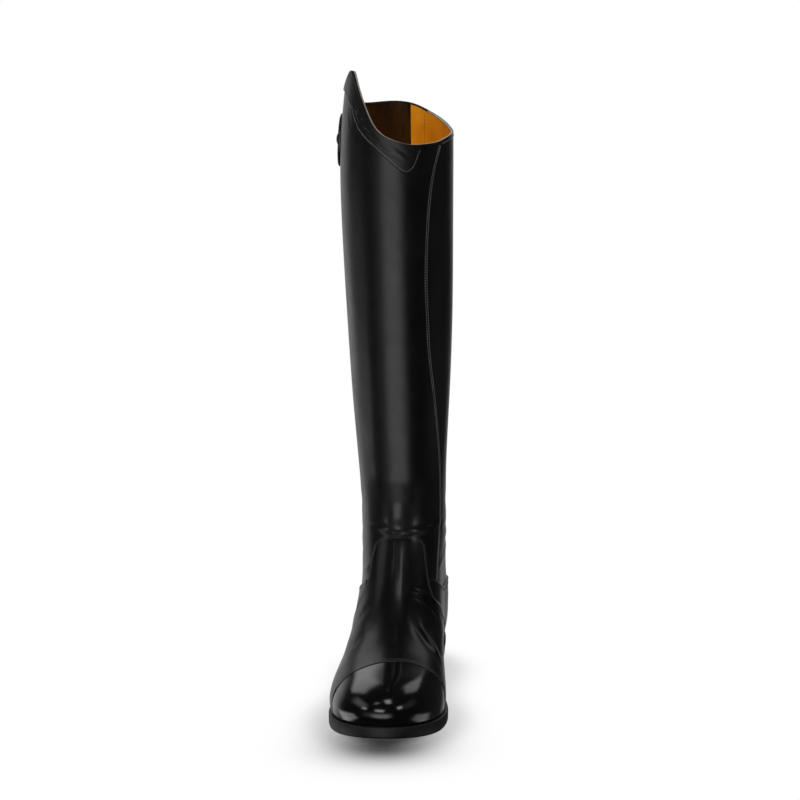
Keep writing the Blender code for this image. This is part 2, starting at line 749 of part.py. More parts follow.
def add_box(name, size, centre):
    """Box of a size in millimetres, centred on a point of its own object."""
    mesh = bpy.data.meshes.new(name)
    form = bmesh.new()
    stretch = Matrix.Diagonal((*[side * MM for side in size], 1.0))
    bmesh.ops.create_cube(form, size=1.0, matrix=Matrix.Translation(Vector(centre) * MM) @ stretch)
    form.to_mesh(mesh)
    form.free()
    obj = bpy.data.objects.new(name, mesh)
    bpy.context.scene.collection.objects.link(obj)
    return obj


def combine(obj, tool, operation):
    """Adds or cuts a helper box, which stays in the scene as a wire guide."""
    tool.hide_render = True
    tool.display_type = "WIRE"
    tool.matrix_world = obj.matrix_world
    step = obj.modifiers.new(tool.name, "BOOLEAN")
    step.operation = operation
    step.solver = "EXACT"
    step.object = tool


def slider_frame():
    """Place of the slider's outer face: origin on the zip, Y out, Z up the zip."""
    level = level_at_height(SLIDER_Z)
    origin = place(180, level, GAP + ZIP_THICKNESS + GAP + SLIDER_SIZE[1])
    return Matrix.Translation(origin * MM)


def make_slider():
    frame = slider_frame()
    body = add_box("zip_slider", SLIDER_SIZE, (0, -SLIDER_SIZE[1] / 2, 0))
    body.matrix_world = frame
    middle = sum(BRIDGE_SPAN) / 2
    span = BRIDGE_SPAN[1] - BRIDGE_SPAN[0]
    bridge = add_box(
        "guide_bridge",
        (BRIDGE_WIDTH, BRIDGE_REACH + 1.0, span),
        (0, (BRIDGE_REACH - 1.0) / 2, middle),
    )
    window = add_box(
        "guide_bridge_window",
        (BRIDGE_WIDTH * 3, BRIDGE_REACH - BRIDGE_BAR, span - 2 * BRIDGE_BAR),
        (0, (BRIDGE_REACH - BRIDGE_BAR) / 2, middle),
    )
    combine(body, bridge, "UNION")
    combine(body, window, "DIFFERENCE")
    return body


def make_pull():
    """Pull tab hanging from its bar, which lies under the slider's bridge."""
    hinge = bpy.data.objects.new("pull_hinge", None)
    bpy.context.scene.collection.objects.link(hinge)
    hinge.matrix_world = slider_frame() @ Matrix.Translation(Vector((0, PULL_AXIS_OUT, 0)) * MM)
    top = PULL_THICKNESS / 2
    drop = PULL_LENGTH - top
    plate = add_box("zip_pull", (PULL_WIDTH, PULL_THICKNESS, PULL_LENGTH), (0, 0, top - PULL_LENGTH / 2))
    plate.matrix_world = hinge.matrix_world
    window = add_box(
        "guide_pull_window",
        (PULL_WINDOW[0], PULL_THICKNESS * 3, PULL_WINDOW[1]),
        (0, 0, -top - PULL_WINDOW[1] / 2),
    )
    finger = add_box(
        "guide_pull_slot",
        (PULL_SLOT[0], PULL_THICKNESS * 3, PULL_SLOT[1]),
        (0, 0, PULL_SLOT_FROM_END - drop),
    )
    combine(plate, window, "DIFFERENCE")
    combine(plate, finger, "DIFFERENCE")
    for child in (plate, window, finger):
        world = child.matrix_world.copy()
        child.parent = hinge
        child.matrix_parent_inverse = hinge.matrix_world.inverted()
        child.matrix_world = world
    return plate


def main():
    for obj in list(bpy.data.objects):
        bpy.data.objects.remove(obj, do_unlink=True)
    black_leather = (0.012, 0.012, 0.013)
    add_material(make_upper(), black_leather, 0.28)
    add_material(make_toe_cap(), black_leather, 0.14)
    add_material(make_vamp(), black_leather, 0.22)
    add_material(make_counter(), black_leather, 0.22)
    add_material(make_spur_rest(), black_leather, 0.25)
    add_material(make_top_panel(), (0.016, 0.016, 0.017), 0.34)
    add_material(make_snap_tab(), black_leather, 0.3)
    add_material(make_snap(), (0.09, 0.09, 0.095), 0.3, 1.0)
    add_material(make_gusset(), (0.014, 0.014, 0.015), 0.85)
    add_material(make_zip(), (0.013, 0.013, 0.014), 0.6)
    add_material(make_slider(), (0.08, 0.08, 0.085), 0.35, 1.0)
    add_material(make_pull(), (0.08, 0.08, 0.085), 0.35, 1.0)
    add_material(make_outsole(), (0.03, 0.03, 0.032), 0.55)
    add_material(make_heel(), (0.025, 0.025, 0.027), 0.55)
    add_material(make_insole(), (0.42, 0.23, 0.05), 0.7)


main()
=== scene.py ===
"""Looks of a tall black dress riding boot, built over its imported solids."""

import math

import bmesh
import bpy
import numpy as np
from mathutils import Matrix, Vector


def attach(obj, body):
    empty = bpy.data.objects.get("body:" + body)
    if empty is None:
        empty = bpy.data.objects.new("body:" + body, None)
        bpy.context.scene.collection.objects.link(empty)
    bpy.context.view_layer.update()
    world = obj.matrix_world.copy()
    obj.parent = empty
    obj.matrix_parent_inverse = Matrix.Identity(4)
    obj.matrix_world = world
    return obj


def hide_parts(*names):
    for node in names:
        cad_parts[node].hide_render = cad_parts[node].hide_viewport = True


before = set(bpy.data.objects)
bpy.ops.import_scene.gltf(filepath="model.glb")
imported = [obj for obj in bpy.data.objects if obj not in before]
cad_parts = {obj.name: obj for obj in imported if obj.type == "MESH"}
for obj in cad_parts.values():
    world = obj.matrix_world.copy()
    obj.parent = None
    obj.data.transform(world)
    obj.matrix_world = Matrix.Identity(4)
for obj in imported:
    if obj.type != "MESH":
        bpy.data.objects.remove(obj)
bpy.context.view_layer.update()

MM = 0.001

# The boot's own surface, in millimetres: sections from the feather line up, as in the solids
SECTIONS = np.array([
    # front y, z, back y, z, sag, lateral ball waist heel, medial ball waist heel, toe full, heel full, shift
    (-239.5, 16.5, 33.5, 33.0, 1.00, 48.5, 36.5, 31.5, 42.0, 29.5, 31.5, 0.27, 0.46, 0.0),
    (-243.0, 26.0, 36.5, 44.0, 0.90, 50.0, 39.0, 33.6, 42.4, 33.0, 34.0, 0.27, 0.46, 0.0),
    (-238.5, 37.0, 37.5, 52.0, 0.72, 47.2, 38.8, 34.0, 41.0, 34.4, 35.0, 0.25, 0.44, 0.0),
    (-226.0, 46.0, 37.2, 58.0, 0.54, 42.4, 37.6, 33.8, 39.0, 35.2, 35.0, 0.20, 0.40, 0.0),
    (-208.0, 52.0, 36.4, 63.5, 0.38, 39.4, 36.4, 33.2, 37.4, 35.6, 34.8, 0.10, 0.40, 0.0),
    (-187.0, 57.5, 35.2, 69.0, 0.25, 36.8, 35.8, 32.4, 36.2, 35.6, 34.4, 0.04, 0.30, 0.0),
    (-161.0, 67.0, 33.5, 76.0, 0.12, 35.2, 35.0, 31.6, 33.8, 35.4, 33.6, 0.00, 0.28, 0.0),
    (-133.0, 84.0, 31.3, 85.0, 0.03, 32.8, 34.6, 30.7, 32.4, 35.2, 32.8, 0.00, 0.26, 0.0),
    (-108.0, 108.0, 29.0, 97.5, 0.0, 31.6, 34.8, 29.6, 31.6, 35.0, 31.0, 0.02, 0.24, 0.0),
    (-90.0, 132.0, 27.3, 114.0, 0.0, 31.0, 34.6, 28.2, 31.2, 34.8, 29.4, 0.06, 0.20, 0.0),
    (-80.5, 156.0, 26.6, 137.0, 0.0, 31.6, 34.9, 27.2, 31.8, 34.6, 27.6, 0.10, 0.14, 0.0),
    (-77.0, 182.0, 27.8, 170.0, 0.0, 33.2, 36.4, 27.4, 32.6, 35.2, 26.9, 0.10, 0.10, -0.5),
    (-77.5, 230.0, 34.5, 226.0, 0.0, 36.6, 40.0, 29.8, 35.2, 38.4, 28.6, 0.06, 0.06, -1.6),
    (-80.0, 300.0, 45.5, 300.0, 0.0, 40.2, 43.6, 32.2, 38.9, 42.3, 31.3, 0.02, 0.02, -3.2),
    (-82.5, 380.0, 52.5, 380.0, 0.0, 42.6, 46.2, 34.2, 41.2, 44.4, 33.0, 0.0, 0.0, -5.0),
    (-84.0, 453.0, 53.0, 453.0, 0.0, 42.2, 45.4, 33.8, 42.4, 45.6, 33.8, 0.0, 0.0, -6.2),
    (-84.5, 520.0, 50.0, 520.0, 0.0, 35.8, 38.6, 30.5, 41.6, 45.0, 33.2, 0.0, 0.0, -6.2),
])
FIRST_UPRIGHT = 13
STATIONS = np.array((0.30, 0.56, 0.84))
SOLE_TOP = (
    (-242, 17.0), (-215, 13.2), (-190, 10.6), (-165, 9.5), (-140, 9.9), (-110, 13.2), (-80, 19.8),
    (-50, 27.0), (-25, 31.0), (0, 32.6), (36, 33.0),
)
ARCH = (
    (-146, 0.0), (-128, 0.9), (-110, 3.9), (-80, 11.2), (-50, 19.2), (-25, 23.8), (0, 26.0), (40, 26.6),
)
RIM = (
    (0, 4.5), (20, 15), (34, 32), (48, 49), (57, 56.5), (63, 53.5), (76, 43), (92, 35), (115, 25),
    (141, 20), (180, 19.6), (192, 18), (212, 12.5), (230, 7.8), (251, 3.4), (270, 2.6), (292, 2.0),
    (310, 0.3), (327, 0.0), (342, 0.5), (360, 4.5),
)
RIM_LOW_Z = 453.0
TOE_SWING = 3.5
SWING_TOP = 150.0
SOLE_MARGIN = 2.4
TOE_SPRING = 7.5
FOREFOOT_FLAT = (-186.0, -146.0)
HEEL_BREAST_Y = -27.0
HEEL_TAPER = 2.6
WALL = 2.2
OVERLAY_DEPTH = 1.3
PANEL_LAP = 0.4
GAP = 0.35
GUSSET_THICK = 0.8
ZIP_THICK = 1.5
FOOT_LEVEL = 0.35
UPRIGHT_FROM, UPRIGHT_REACH = 100, 50
LAP_FROM, LAP_TO, LAP_AT_FOOT = 100, 170, 0.2

# Edge lines as (angle, level) places
CAP_EDGE = (
    (-62.5, 12.5), (-60, 18.2), (-55.5, 24), (-49, 31.3), (-42.5, 38), (-34, 45.5), (-24.5, 51.8),
    (-16, 55), (-4, 56.3), (9.5, 54.7), (20, 50.4), (30.5, 43.1), (39.5, 34.2), (46, 24.8), (50, 13.6),
)
VAMP_EDGE = (
    (-113, 14), (-105, 34), (-94, 52), (-78, 71.5), (-63.5, 88.5), (-52, 100.6), (-43.5, 115.5),
    (-39, 127), (-35, 137), (-27.5, 142), (-12, 144.8), (11.5, 144.9), (25, 142.4), (33.5, 138),
    (40, 127.5), (44, 114.2), (54, 101), (62, 90), (70, 75.5), (80, 56), (91, 36), (101, 14),
)
COUNTER_TOP = (
    (50, 110.5), (58, 106.5), (71, 100.8), (90, 92), (120, 86), (180, 85), (240, 85.5),
    (256.5, 87.5), (278, 97), (299.5, 108), (312, 112),
)
TOP_PANEL_EDGE = (
    (-29.5, 471.5), (-26, 465), (-22.5, 458), (-18, 453.5), (-12.5, 452), (-7.5, 454), (0, 459),
    (9.5, 466), (19.5, 473), (28, 478.5), (38, 486.3), (46.5, 496.7), (60, 507.5), (75.5, 512.2),
    (84, 510.8),
)
MEDIAL_SEAM = (
    (60, -66), (120, -67), (150, -66), (186, -63.5), (209, -60.5), (230, -56), (250, -51), (278, -44.5),
    (300, -40), (328, -37.5), (354, -36), (387, -36.5), (407, -38), (422, -39.5), (435, -41.5),
    (455, -47), (471, -54), (500, -62),
)
ZIP_ANGLES = (174.4, 185.6)
GUSSET_ANGLES = (150.0, 173.8)
GUSSET_FOOT_ANGLE = 166.0
GUSSET_FOOT_LEVEL = 205.0
TAB_ANGLES = (85.0, 197.0)
TAB_Z = (425.0, 469.0)
TAB_TIP = 13.0
SNAP_ANGLE = 103.0
SLIDER_Z = 396.0


class Curve:
    """Natural cubic through rows, read at one place or at many."""

    def __init__(self, at, values):
        self.at = np.asarray(at, float)
        self.values = np.asarray(values, float)
        n = len(self.at)
        h = np.diff(self.at)
        m = np.zeros((n, n))
        r = np.zeros(self.values.shape)
        m[0, 0] = m[-1, -1] = 1
        slope = (np.diff(self.values, axis=0).T / h).T
        for i in range(1, n - 1):
            m[i, i - 1 : i + 2] = h[i - 1], 2 * (h[i - 1] + h[i]), h[i]
            r[i] = 6 * (slope[i] - slope[i - 1])
        self.bend = np.linalg.solve(m, r.reshape(n, -1)).reshape(r.shape)
        self.h = h

    def __call__(self, at):
        at = np.asarray(at, float)
        i = np.clip(np.searchsorted(self.at, at, side="right") - 1, 0, len(self.h) - 1)
        h = self.h[i]
        a = (self.at[i + 1] - at) / h
        b = 1 - a
        if self.values.ndim > 1:
            a, b, h = a[..., None], b[..., None], h[..., None]
        bent = (a**3 - a) * self.bend[i] + (b**3 - b) * self.bend[i + 1]
        return a * self.values[i] + b * self.values[i + 1] + bent * h**2 / 6


def smooth(x):
    x = np.clip(x, 0.0, 1.0)
    return x * x * (3 - 2 * x)


def section_levels():
    front = np.hypot(*np.diff(SECTIONS[:, 0:2], axis=0).T)
    back = np.hypot(*np.diff(SECTIONS[:, 2:4], axis=0).T)
    return np.concatenate([[0], np.cumsum((front + back) / 2)])


LEVELS = section_levels()
SECTION_AT = Curve(LEVELS, SECTIONS)
SHARE_AT = Curve((0.0, *STATIONS, 1.0), np.eye(5))
SOLE_TOP_AT = Curve(*zip(*SOLE_TOP))
ARCH_AT = Curve(*zip(*ARCH))
RIM_AT = Curve(*zip(*RIM))
SEAM_AT = Curve(*zip(*MEDIAL_SEAM))


def form(angle, level):
    """Points of the boot's outline surface in millimetres."""
    angle, level = np.broadcast_arrays(np.asarray(angle, float), np.asarray(level, float))
    row = SECTION_AT(level)
    turn = np.radians(angle % 360)
    u = (1 - np.cos(turn)) / 2
    lateral = (angle % 360) < 180
    ends = 1 + row[..., 11] * (1 - u) ** 5 + row[..., 12] * u**5
    ellipse = np.sin(np.arccos(1 - 2 * STATIONS))
    unit = ellipse * (1 + row[..., 11, None] * (1 - STATIONS) ** 5 + row[..., 12, None] * STATIONS**5)
    width = np.where(lateral[..., None], row[..., 5:8], row[..., 8:11]) / unit
    share = SHARE_AT(u)
    across = (share[..., 0] + share[..., 1]) * width[..., 0] + share[..., 2] * width[..., 1]
    across += (share[..., 3] + share[..., 4]) * width[..., 2]
    swing = TOE_SWING * (1 - u) ** 3 * np.clip(1 - level / SWING_TOP, 0, 1)
    x = row[..., 13] - swing - np.sin(turn) * ends * across
    y = row[..., 0] + (row[..., 2] - row[..., 0]) * u
    z = row[..., 1] + (row[..., 3] - row[..., 1]) * u
    along = np.clip(y, SECTIONS[0, 0], SECTIONS[0, 2])
    chord = np.interp(along, (SECTIONS[0, 0], SECTIONS[0, 2]), (SECTIONS[0, 1], SECTIONS[0, 3]))
    z = z + row[..., 4] * (SOLE_TOP_AT(along) - chord)
    return np.stack([x, y, z], -1)


def unit(v):
    return v / np.maximum(np.linalg.norm(v, axis=-1, keepdims=True), 1e-9)


def outward(angle, level):
    across = form(angle + 0.5, level) - form(angle - 0.5, level)
    along = form(angle, level + 0.5) - form(angle, level - 0.5)
    return unit(np.cross(along, across))


def level_at_height(z):
    return np.interp(z, SECTIONS[FIRST_UPRIGHT:, 1], LEVELS[FIRST_UPRIGHT:])


def rim_level(angle):
    return level_at_height(RIM_LOW_Z + RIM_AT(np.asarray(angle, float) % 360))


def wall_depth(level):
    return OVERLAY_DEPTH * (1 - smooth((np.asarray(level, float) - UPRIGHT_FROM) / UPRIGHT_REACH))


def edge_curve(edge, samples=400):
    """Smooth line through an edge's rows, as (angle, level) samples in rising angle."""
    rows = np.array(edge, float)
    run = np.concatenate([[0], np.cumsum(np.hypot(*np.diff(rows, axis=0).T))])
    line = Curve(run, rows)(np.linspace(0, run[-1], samples))
    return line[np.argsort(line[:, 0], kind="stable")]


def edge_reader(edge):
    line = edge_curve(edge)

    def read(angle):
        return np.interp(angle, line[:, 0], line[:, 1])

    return read


cap_level = edge_reader(CAP_EDGE)
vamp_level = edge_reader(VAMP_EDGE)
counter_level = edge_reader(COUNTER_TOP)
top_panel_level = edge_reader(TOP_PANEL_EDGE)


# Creases: soft troughs and ridges along (angle, level) places, with height and width in millimetres.
# A second, opposite swell beside the line gives it the roll of folded leather
def crease(height, width, *path, swell=0.35):
    return (height, width, np.array(path, float), swell)


CREASES = [
    # fold across the front of the ankle, and the roll over it
    crease(-0.75, 2.0, (60, 151.5), (48.5, 150.6), (34.5, 150.1), (23.5, 149.2), (10, 148.4), (-4, 148.0),
           (-24, 148.2), (-38, 149.0), (-49.5, 150.6), (-60, 153.6), (-70, 157.5), swell=0.55),
    crease(0.9, 2.4, (-46, 149.2), (-52, 150.8), (-58, 152.8), (-65, 155.6), (-70, 158.5), swell=0.3),
    crease(0.35, 1.8, (-70, 153.2), (-80, 153.4), (-90, 154), swell=0.2),
    crease(-0.3, 1.6, (40, 153.5), (22, 152.6), (2, 151.9), (-18, 152.0), (-36, 153.0)),
    # low shelf over the shin
    crease(-0.5, 8.0, (48, 190), (19, 189.6), (2, 189.5), (-15, 189.2), (-40, 190)),
    crease(-0.25, 5.0, (36, 172), (10, 171), (-20, 171)),
    # rolls beside the ankle, lateral and medial
    crease(0.7, 2.6, (68, 112.8), (60, 115.6), (54.5, 117.6), (48, 120), (43.5, 122), swell=0.4),
    crease(0.55, 2.6, (-68, 117.2), (-76, 118.8), (-88, 121), (-98, 124)),
    crease(-0.45, 3.2, (75, 126), (95, 131), (118, 135), (140, 138)),
    crease(-0.4, 3.0, (80, 146), (105, 148), (130, 150), (150, 150)),
    crease(-0.5, 3.4, (-82, 132), (-105, 136), (-130, 139), (-150, 141)),
    crease(-0.4, 3.2, (-85, 148), (-112, 150), (-135, 152), (-152, 152)),
    crease(-0.35, 5.0, (70, 172), (110, 168), (150, 166)),
    crease(-0.35, 5.0, (-80, 174), (-115, 169), (-150, 167)),
    # flex creases on the medial side of the vamp
    crease(1.15, 2.3, (-18, 107.2), (-26, 105.8), (-33, 103.8), (-41, 101), (-49, 97.4), (-57, 92.2),
           (-66, 86.3), (-78, 77), swell=0.2),
    crease(-1.0, 2.4, (-22, 103.6), (-31, 100.8), (-39.5, 97.2), (-47.5, 92.4), (-54.5, 86.6), (-61.5, 79)),
    crease(0.9, 3.4, (-33, 84), (-37, 78.3), (-42, 72), (-48, 62.5), (-56, 48.7), (-63, 36)),
    crease(-0.5, 4.5, (-24, 90), (-30, 82), (-38, 70), (-46, 57)),
    # faint edges down the middle of the instep
    crease(0.22, 1.8, (6.8, 144), (5.8, 135), (4.6, 125), swell=0.1),
    crease(0.18, 2.0, (-3, 135), (-5, 122), (-7.6, 103), swell=0.1),
    crease(-0.22, 4.0, (4, 104), (0, 82), (-4.5, 60)),
    # flex of the vamp on the lateral side
    crease(-0.25, 4.0, (30, 98), (42, 90), (55, 80)),
    crease(-0.2, 5.0, (26, 80), (40, 70), (54, 58)),
    # puckers at the collar's band
    crease(-0.4, 1.3, (51, 503), (46, 500), (41.5, 495.5), (38, 490), swell=0.6),
    crease(0.3, 1.1, (47, 503.5), (42, 499.5), (37, 494.5), swell=0.5),
    crease(-0.3, 1.0, (44, 504), (39, 500), (34, 496), swell=0.5),
    crease(0.25, 1.0, (38, 498.5), (32, 494.5), (27, 491.5), swell=0.5),
    crease(-0.22, 1.2, (30, 488), (22, 482), (15, 479), swell=0.5),
    crease(0.2, 1.2, (24, 488), (16, 482.5), (9, 478), swell=0.5),
    crease(-0.2, 1.3, (12, 474), (4, 469), (-4, 465), swell=0.5),
    crease(0.2, 1.3, (2, 474), (-6, 468), (-13, 463), swell=0.5),
    crease(-0.2, 1.4, (-8, 471), (-15, 466), (-21, 464), swell=0.5),
    crease(0.4, 1.2, (42, 489), (37.5, 487.2), (33, 487.0), swell=0.4),
    crease(-0.35, 1.2, (38, 483.5), (33.5, 484.2), (29.5, 486.5), swell=0.4),
    crease(0.25, 1.6, (33, 491), (27, 488.5), (21, 487)),
    crease(-0.2, 2.2, (20, 479), (10, 472), (2, 466)),
    crease(-0.25, 1.6, (55, 499), (52, 491), (50, 484)),
    # slow waves of the shaft
    crease(0.5, 22.0, (12, 250), (10, 330), (8, 420)),
    crease(-0.4, 18.0, (60, 240), (70, 320), (66, 400)),
    crease(-0.35, 16.0, (130, 230), (125, 320), (128, 410)),
    crease(-0.35, 16.0, (-110, 230), (-112, 320), (-108, 420)),
]


def finer(path, times):
    """Smooth line through places, with this many places for each given one."""
    return Curve(np.arange(len(path)), path)(np.linspace(0, len(path) - 1, times * len(path)))


CREASE_LINES = [form(*finer(path, 6).T) for _, _, path, _ in CREASES]


def relief(points):
    """Height of the creases at points of the outline surface."""
    flat = points.reshape(-1, 3)
    total = np.zeros(len(flat))
    for (height, width, _, swell), line in zip(CREASES, CREASE_LINES):
        reach = 3.6 * width
        low = line.min(0) - reach
        high = line.max(0) + reach
        near = np.nonzero(((flat > low) & (flat < high)).all(1))[0]
        if not len(near):
            continue
        p = flat[near]
        best = np.full(len(p), 1e9)
        where = np.zeros(len(p))
        count = len(line) - 1
        for i in range(count):
            step = line[i + 1] - line[i]
            t = np.clip(((p - line[i]) @ step) / (step @ step), 0, 1)
            d = np.linalg.norm(p - line[i] - t[:, None] * step, axis=1)
            closer = d < best
            best = np.where(closer, d, best)
            where = np.where(closer, (i + t) / count, where)
        fade = np.sin(np.pi * np.clip(where, 0.02, 0.98)) ** 0.7
        bump = np.exp(-((best / width) ** 2)) - swell * np.exp(-(((best - 1.9 * width) / width) ** 2))
        total[near] += height * fade * bump
    return total.reshape(points.shape[:-1])


def skin(angle, level, offset):
    """Points out from the surface, creases included."""
    base = form(angle, level)
    return base + outward(angle, level) * (offset + relief(base))[..., None]


def steps_between(length, step, near=(0.0, 0.14, 0.35, 0.7, 1.3)):
    """Shares of a length: close together at both ends and even between, for rounded borders."""
    near = np.array(near)
    if length < 4 * near[-1]:
        near = near * length / (4 * near[-1])
    count = max(int(math.ceil((length - 2 * near[-1]) / step)), 2)
    inner = np.linspace(near[-1], length - near[-1], count + 1)
    return np.concatenate([near[:-1], inner, length - near[:-1][::-1]]) / length


def make_object(name, points, faces, sharp=38):
    mesh = bpy.data.meshes.new(name)
    mesh.from_pydata((np.asarray(points) * MM).tolist(), [], faces)
    mesh.validate()
    form_mesh = bmesh.new()
    form_mesh.from_mesh(mesh)
    bmesh.ops.remove_doubles(form_mesh, verts=form_mesh.verts, dist=1e-7)
    bmesh.ops.recalc_face_normals(form_mesh, faces=form_mesh.faces)
    form_mesh.to_mesh(mesh)
    form_mesh.free()
    mesh.polygons.foreach_set("use_smooth", np.ones(len(mesh.polygons), bool))
    mesh.set_sharp_from_angle(angle=math.radians(sharp))
    obj = bpy.data.objects.new(name, mesh)
    bpy.context.scene.collection.objects.link(obj)
    return obj


def wall_faces(columns, rows):
    """Faces of a closed wall between an inner and an outer grid of points."""
    def at(grid, i, j):
        return (grid * columns + i) * rows + j

    faces = []
    for i in range(columns - 1):
        for j in range(rows - 1):
            faces.append((at(1, i, j), at(1, i + 1, j), at(1, i + 1, j + 1), at(1, i, j + 1)))
            faces.append((at(0, i, j + 1), at(0, i + 1, j + 1), at(0, i + 1, j), at(0, i, j)))
        for j in (0, rows - 1):
            faces.append((at(0, i, j), at(0, i + 1, j), at(1, i + 1, j), at(1, i, j)))
    for i in (0, columns - 1):
        for j in range(rows - 1):
            faces.append((at(0, i, j), at(1, i, j), at(1, i, j + 1), at(0, i, j + 1)))
    return faces


def wall(name, inner, outer, sharp=38):
    columns, rows = outer.shape[:2]
    points = np.concatenate([inner.reshape(-1, 3), outer.reshape(-1, 3)])
    return make_object(name, points, wall_faces(columns, rows), sharp)


def rounding(distance, radius):
    x = np.clip(distance / radius, 0, 1)
    return np.sqrt(np.maximum(1 - (1 - x) ** 2, 0))


def run_along(points, axis):
    """Distance along an axis of a grid from its first points."""
    steps = np.cumsum(np.linalg.norm(np.diff(points, axis=axis), axis=-1), axis)
    return np.concatenate([0 * steps.take([0], axis), steps], axis)


def panel(name, angle, level, bottom, thick, rounded=(1, 1, 1, 1), radius=0.8):
    """Leather panel on a grid of places [column][row], with its borders rounded where asked:
    first column, last column, low edge, high edge."""
    base = form(angle, level)
    columns, rows = run_along(base, 0), run_along(base, 1)

    def slant(j, k):
        along = unit(np.gradient(base[:, j], axis=0))
        down = unit(base[:, k] - base[:, j])
        return np.maximum(np.linalg.norm(np.cross(along, down), axis=-1), 0.15)[:, None]

    borders = (
        columns,
        columns[-1:] - columns,
        rows * slant(0, 3),
        (rows[:, -1:] - rows) * slant(-1, -4),
    )
    top = np.ones(level.shape)
    for wanted, distance in zip(rounded, borders):
        if wanted:
            top = top * rounding(distance, radius)
    height = relief(base)
    normal = outward(angle, level)
    outer = base + normal * (bottom + thick * top + height)[..., None]
    inner = base + normal * (bottom - 0.06 + height)[..., None]
    return wall(name, inner, outer)


def between(angles, low, high, step):
    """Grid of places from a low to a high edge line."""
    shares = steps_between((high - low).max(), step)
    level = low[:, None] + (high - low)[:, None] * shares
    return np.repeat(angles[:, None], len(shares), 1), level


def angle_places(first, last, step_degrees, corners=()):
    """Angles from first to last, closer together at both ends and at the corners."""
    near = np.array((0.0, 0.15, 0.4, 0.8, 1.5)) * 0.9
    found = [first + near, last - near]
    marks = sorted((first + near[-1], last - near[-1], *corners))
    for a, b in zip(marks, marks[1:]):
        found.append(np.linspace(a, b, max(int(math.ceil((b - a) / step_degrees)), 1) + 1))
    return np.unique(np.round(np.concatenate(found), 5))


# Materials. Grain, wave and depth are in metres
def new_material(name):
    material = bpy.data.materials.new(name)
    material.use_nodes = True
    tree = material.node_tree
    return material, tree, tree.nodes["Principled BSDF"]


def set_inputs(made, **values):
    """Sets a node's sockets, whose names are given with _ for each space."""
    for key, value in values.items():
        made.inputs[key.replace("_", " ")].default_value = value
    return made


def noise(tree, scale, detail=3.0, roughness=0.5, stretch=(1, 1, 1)):
    place = tree.nodes.new("ShaderNodeTexCoord")
    mapping = set_inputs(tree.nodes.new("ShaderNodeMapping"), Scale=stretch)
    made = set_inputs(tree.nodes.new("ShaderNodeTexNoise"), Scale=scale, Detail=detail, Roughness=roughness)
    tree.links.new(place.outputs["Object"], mapping.inputs["Vector"])
    tree.links.new(mapping.outputs["Vector"], made.inputs["Vector"])
    return made.outputs["Fac"]


def ranged(tree, source, low, high):
    made = set_inputs(tree.nodes.new("ShaderNodeMapRange"), From_Min=0.3, From_Max=0.7, To_Min=low, To_Max=high)
    tree.links.new(source, made.inputs["Value"])
    return made.outputs["Result"]


def colours(tree, source, low, high, from_low=0.3, from_high=0.7):
    made = tree.nodes.new("ShaderNodeValToRGB")
    for stop, place, colour in zip(made.color_ramp.elements, (from_low, from_high), (low, high)):
        stop.position = place
        stop.color = (*colour, 1)
    tree.links.new(source, made.inputs["Fac"])
    return made.outputs["Color"]


def bump(tree, source, strength, distance, under=None):
    made = set_inputs(tree.nodes.new("ShaderNodeBump"), Strength=strength, Distance=distance)
    tree.links.new(source, made.inputs["Height"])
    if under is not None:
        tree.links.new(under, made.inputs["Normal"])
    return made.outputs["Normal"]


def dress(tree, shader, colour, normal, roughness=None):
    """Links what the shader takes its colour, normal and roughness from."""
    tree.links.new(colour, shader.inputs["Base Color"])
    tree.links.new(normal, shader.inputs["Normal"])
    if roughness is not None:
        tree.links.new(roughness, shader.inputs["Roughness"])


def leather(name, dark, light, rough, coat, coat_rough, grain, wave, specular=0.5):
    """Polished leather: fine pebble grain, slow waves, uneven polish."""
    material, tree, shader = new_material(name)
    cloud = noise(tree, 26.0, 4.0, 0.55)
    polish = noise(tree, 60.0, 5.0, 0.6)
    slow = noise(tree, 34.0, 2.0, 0.4, (1, 1, 0.5))
    fine = noise(tree, 420.0, 4.0, 0.65)
    place = tree.nodes.new("ShaderNodeTexCoord")
    pores = set_inputs(tree.nodes.new("ShaderNodeTexVoronoi"), Scale=1050.0)
    tree.links.new(place.outputs["Object"], pores.inputs["Vector"])
    normal = bump(tree, slow, 1.0, wave)
    normal = bump(tree, pores.outputs["Distance"], 0.55, grain, normal)
    normal = bump(tree, fine, 0.6, grain * 1.4, normal)
    dress(tree, shader, colours(tree, cloud, dark, light), normal, ranged(tree, polish, *rough))
    tree.links.new(bump(tree, slow, 1.0, wave * 0.8), shader.inputs["Coat Normal"])
    set_inputs(shader, Specular_IOR_Level=specular, Coat_Weight=coat, Coat_Roughness=coat_rough)
    return material


def metal(name, colour, rough):
    material, tree, shader = new_material(name)
    scratch = noise(tree, 900.0, 6.0, 0.7, (1, 1, 0.15))
    colour = colours(tree, scratch, colour, [c * 1.5 for c in colour])
    dress(tree, shader, colour, bump(tree, scratch, 0.25, 0.00002), ranged(tree, scratch, rough, rough + 0.16))
    set_inputs(shader, Metallic=1.0)
    return material


def rubber(name, dark, light, rough):
    material, tree, shader = new_material(name)
    cloud = noise(tree, 55.0, 5.0, 0.6)
    fine = noise(tree, 1500.0, 3.0, 0.6)
    polish = ranged(tree, cloud, *rough)
    dress(tree, shader, colours(tree, cloud, dark, light), bump(tree, fine, 0.5, 0.00004), polish)
    return material


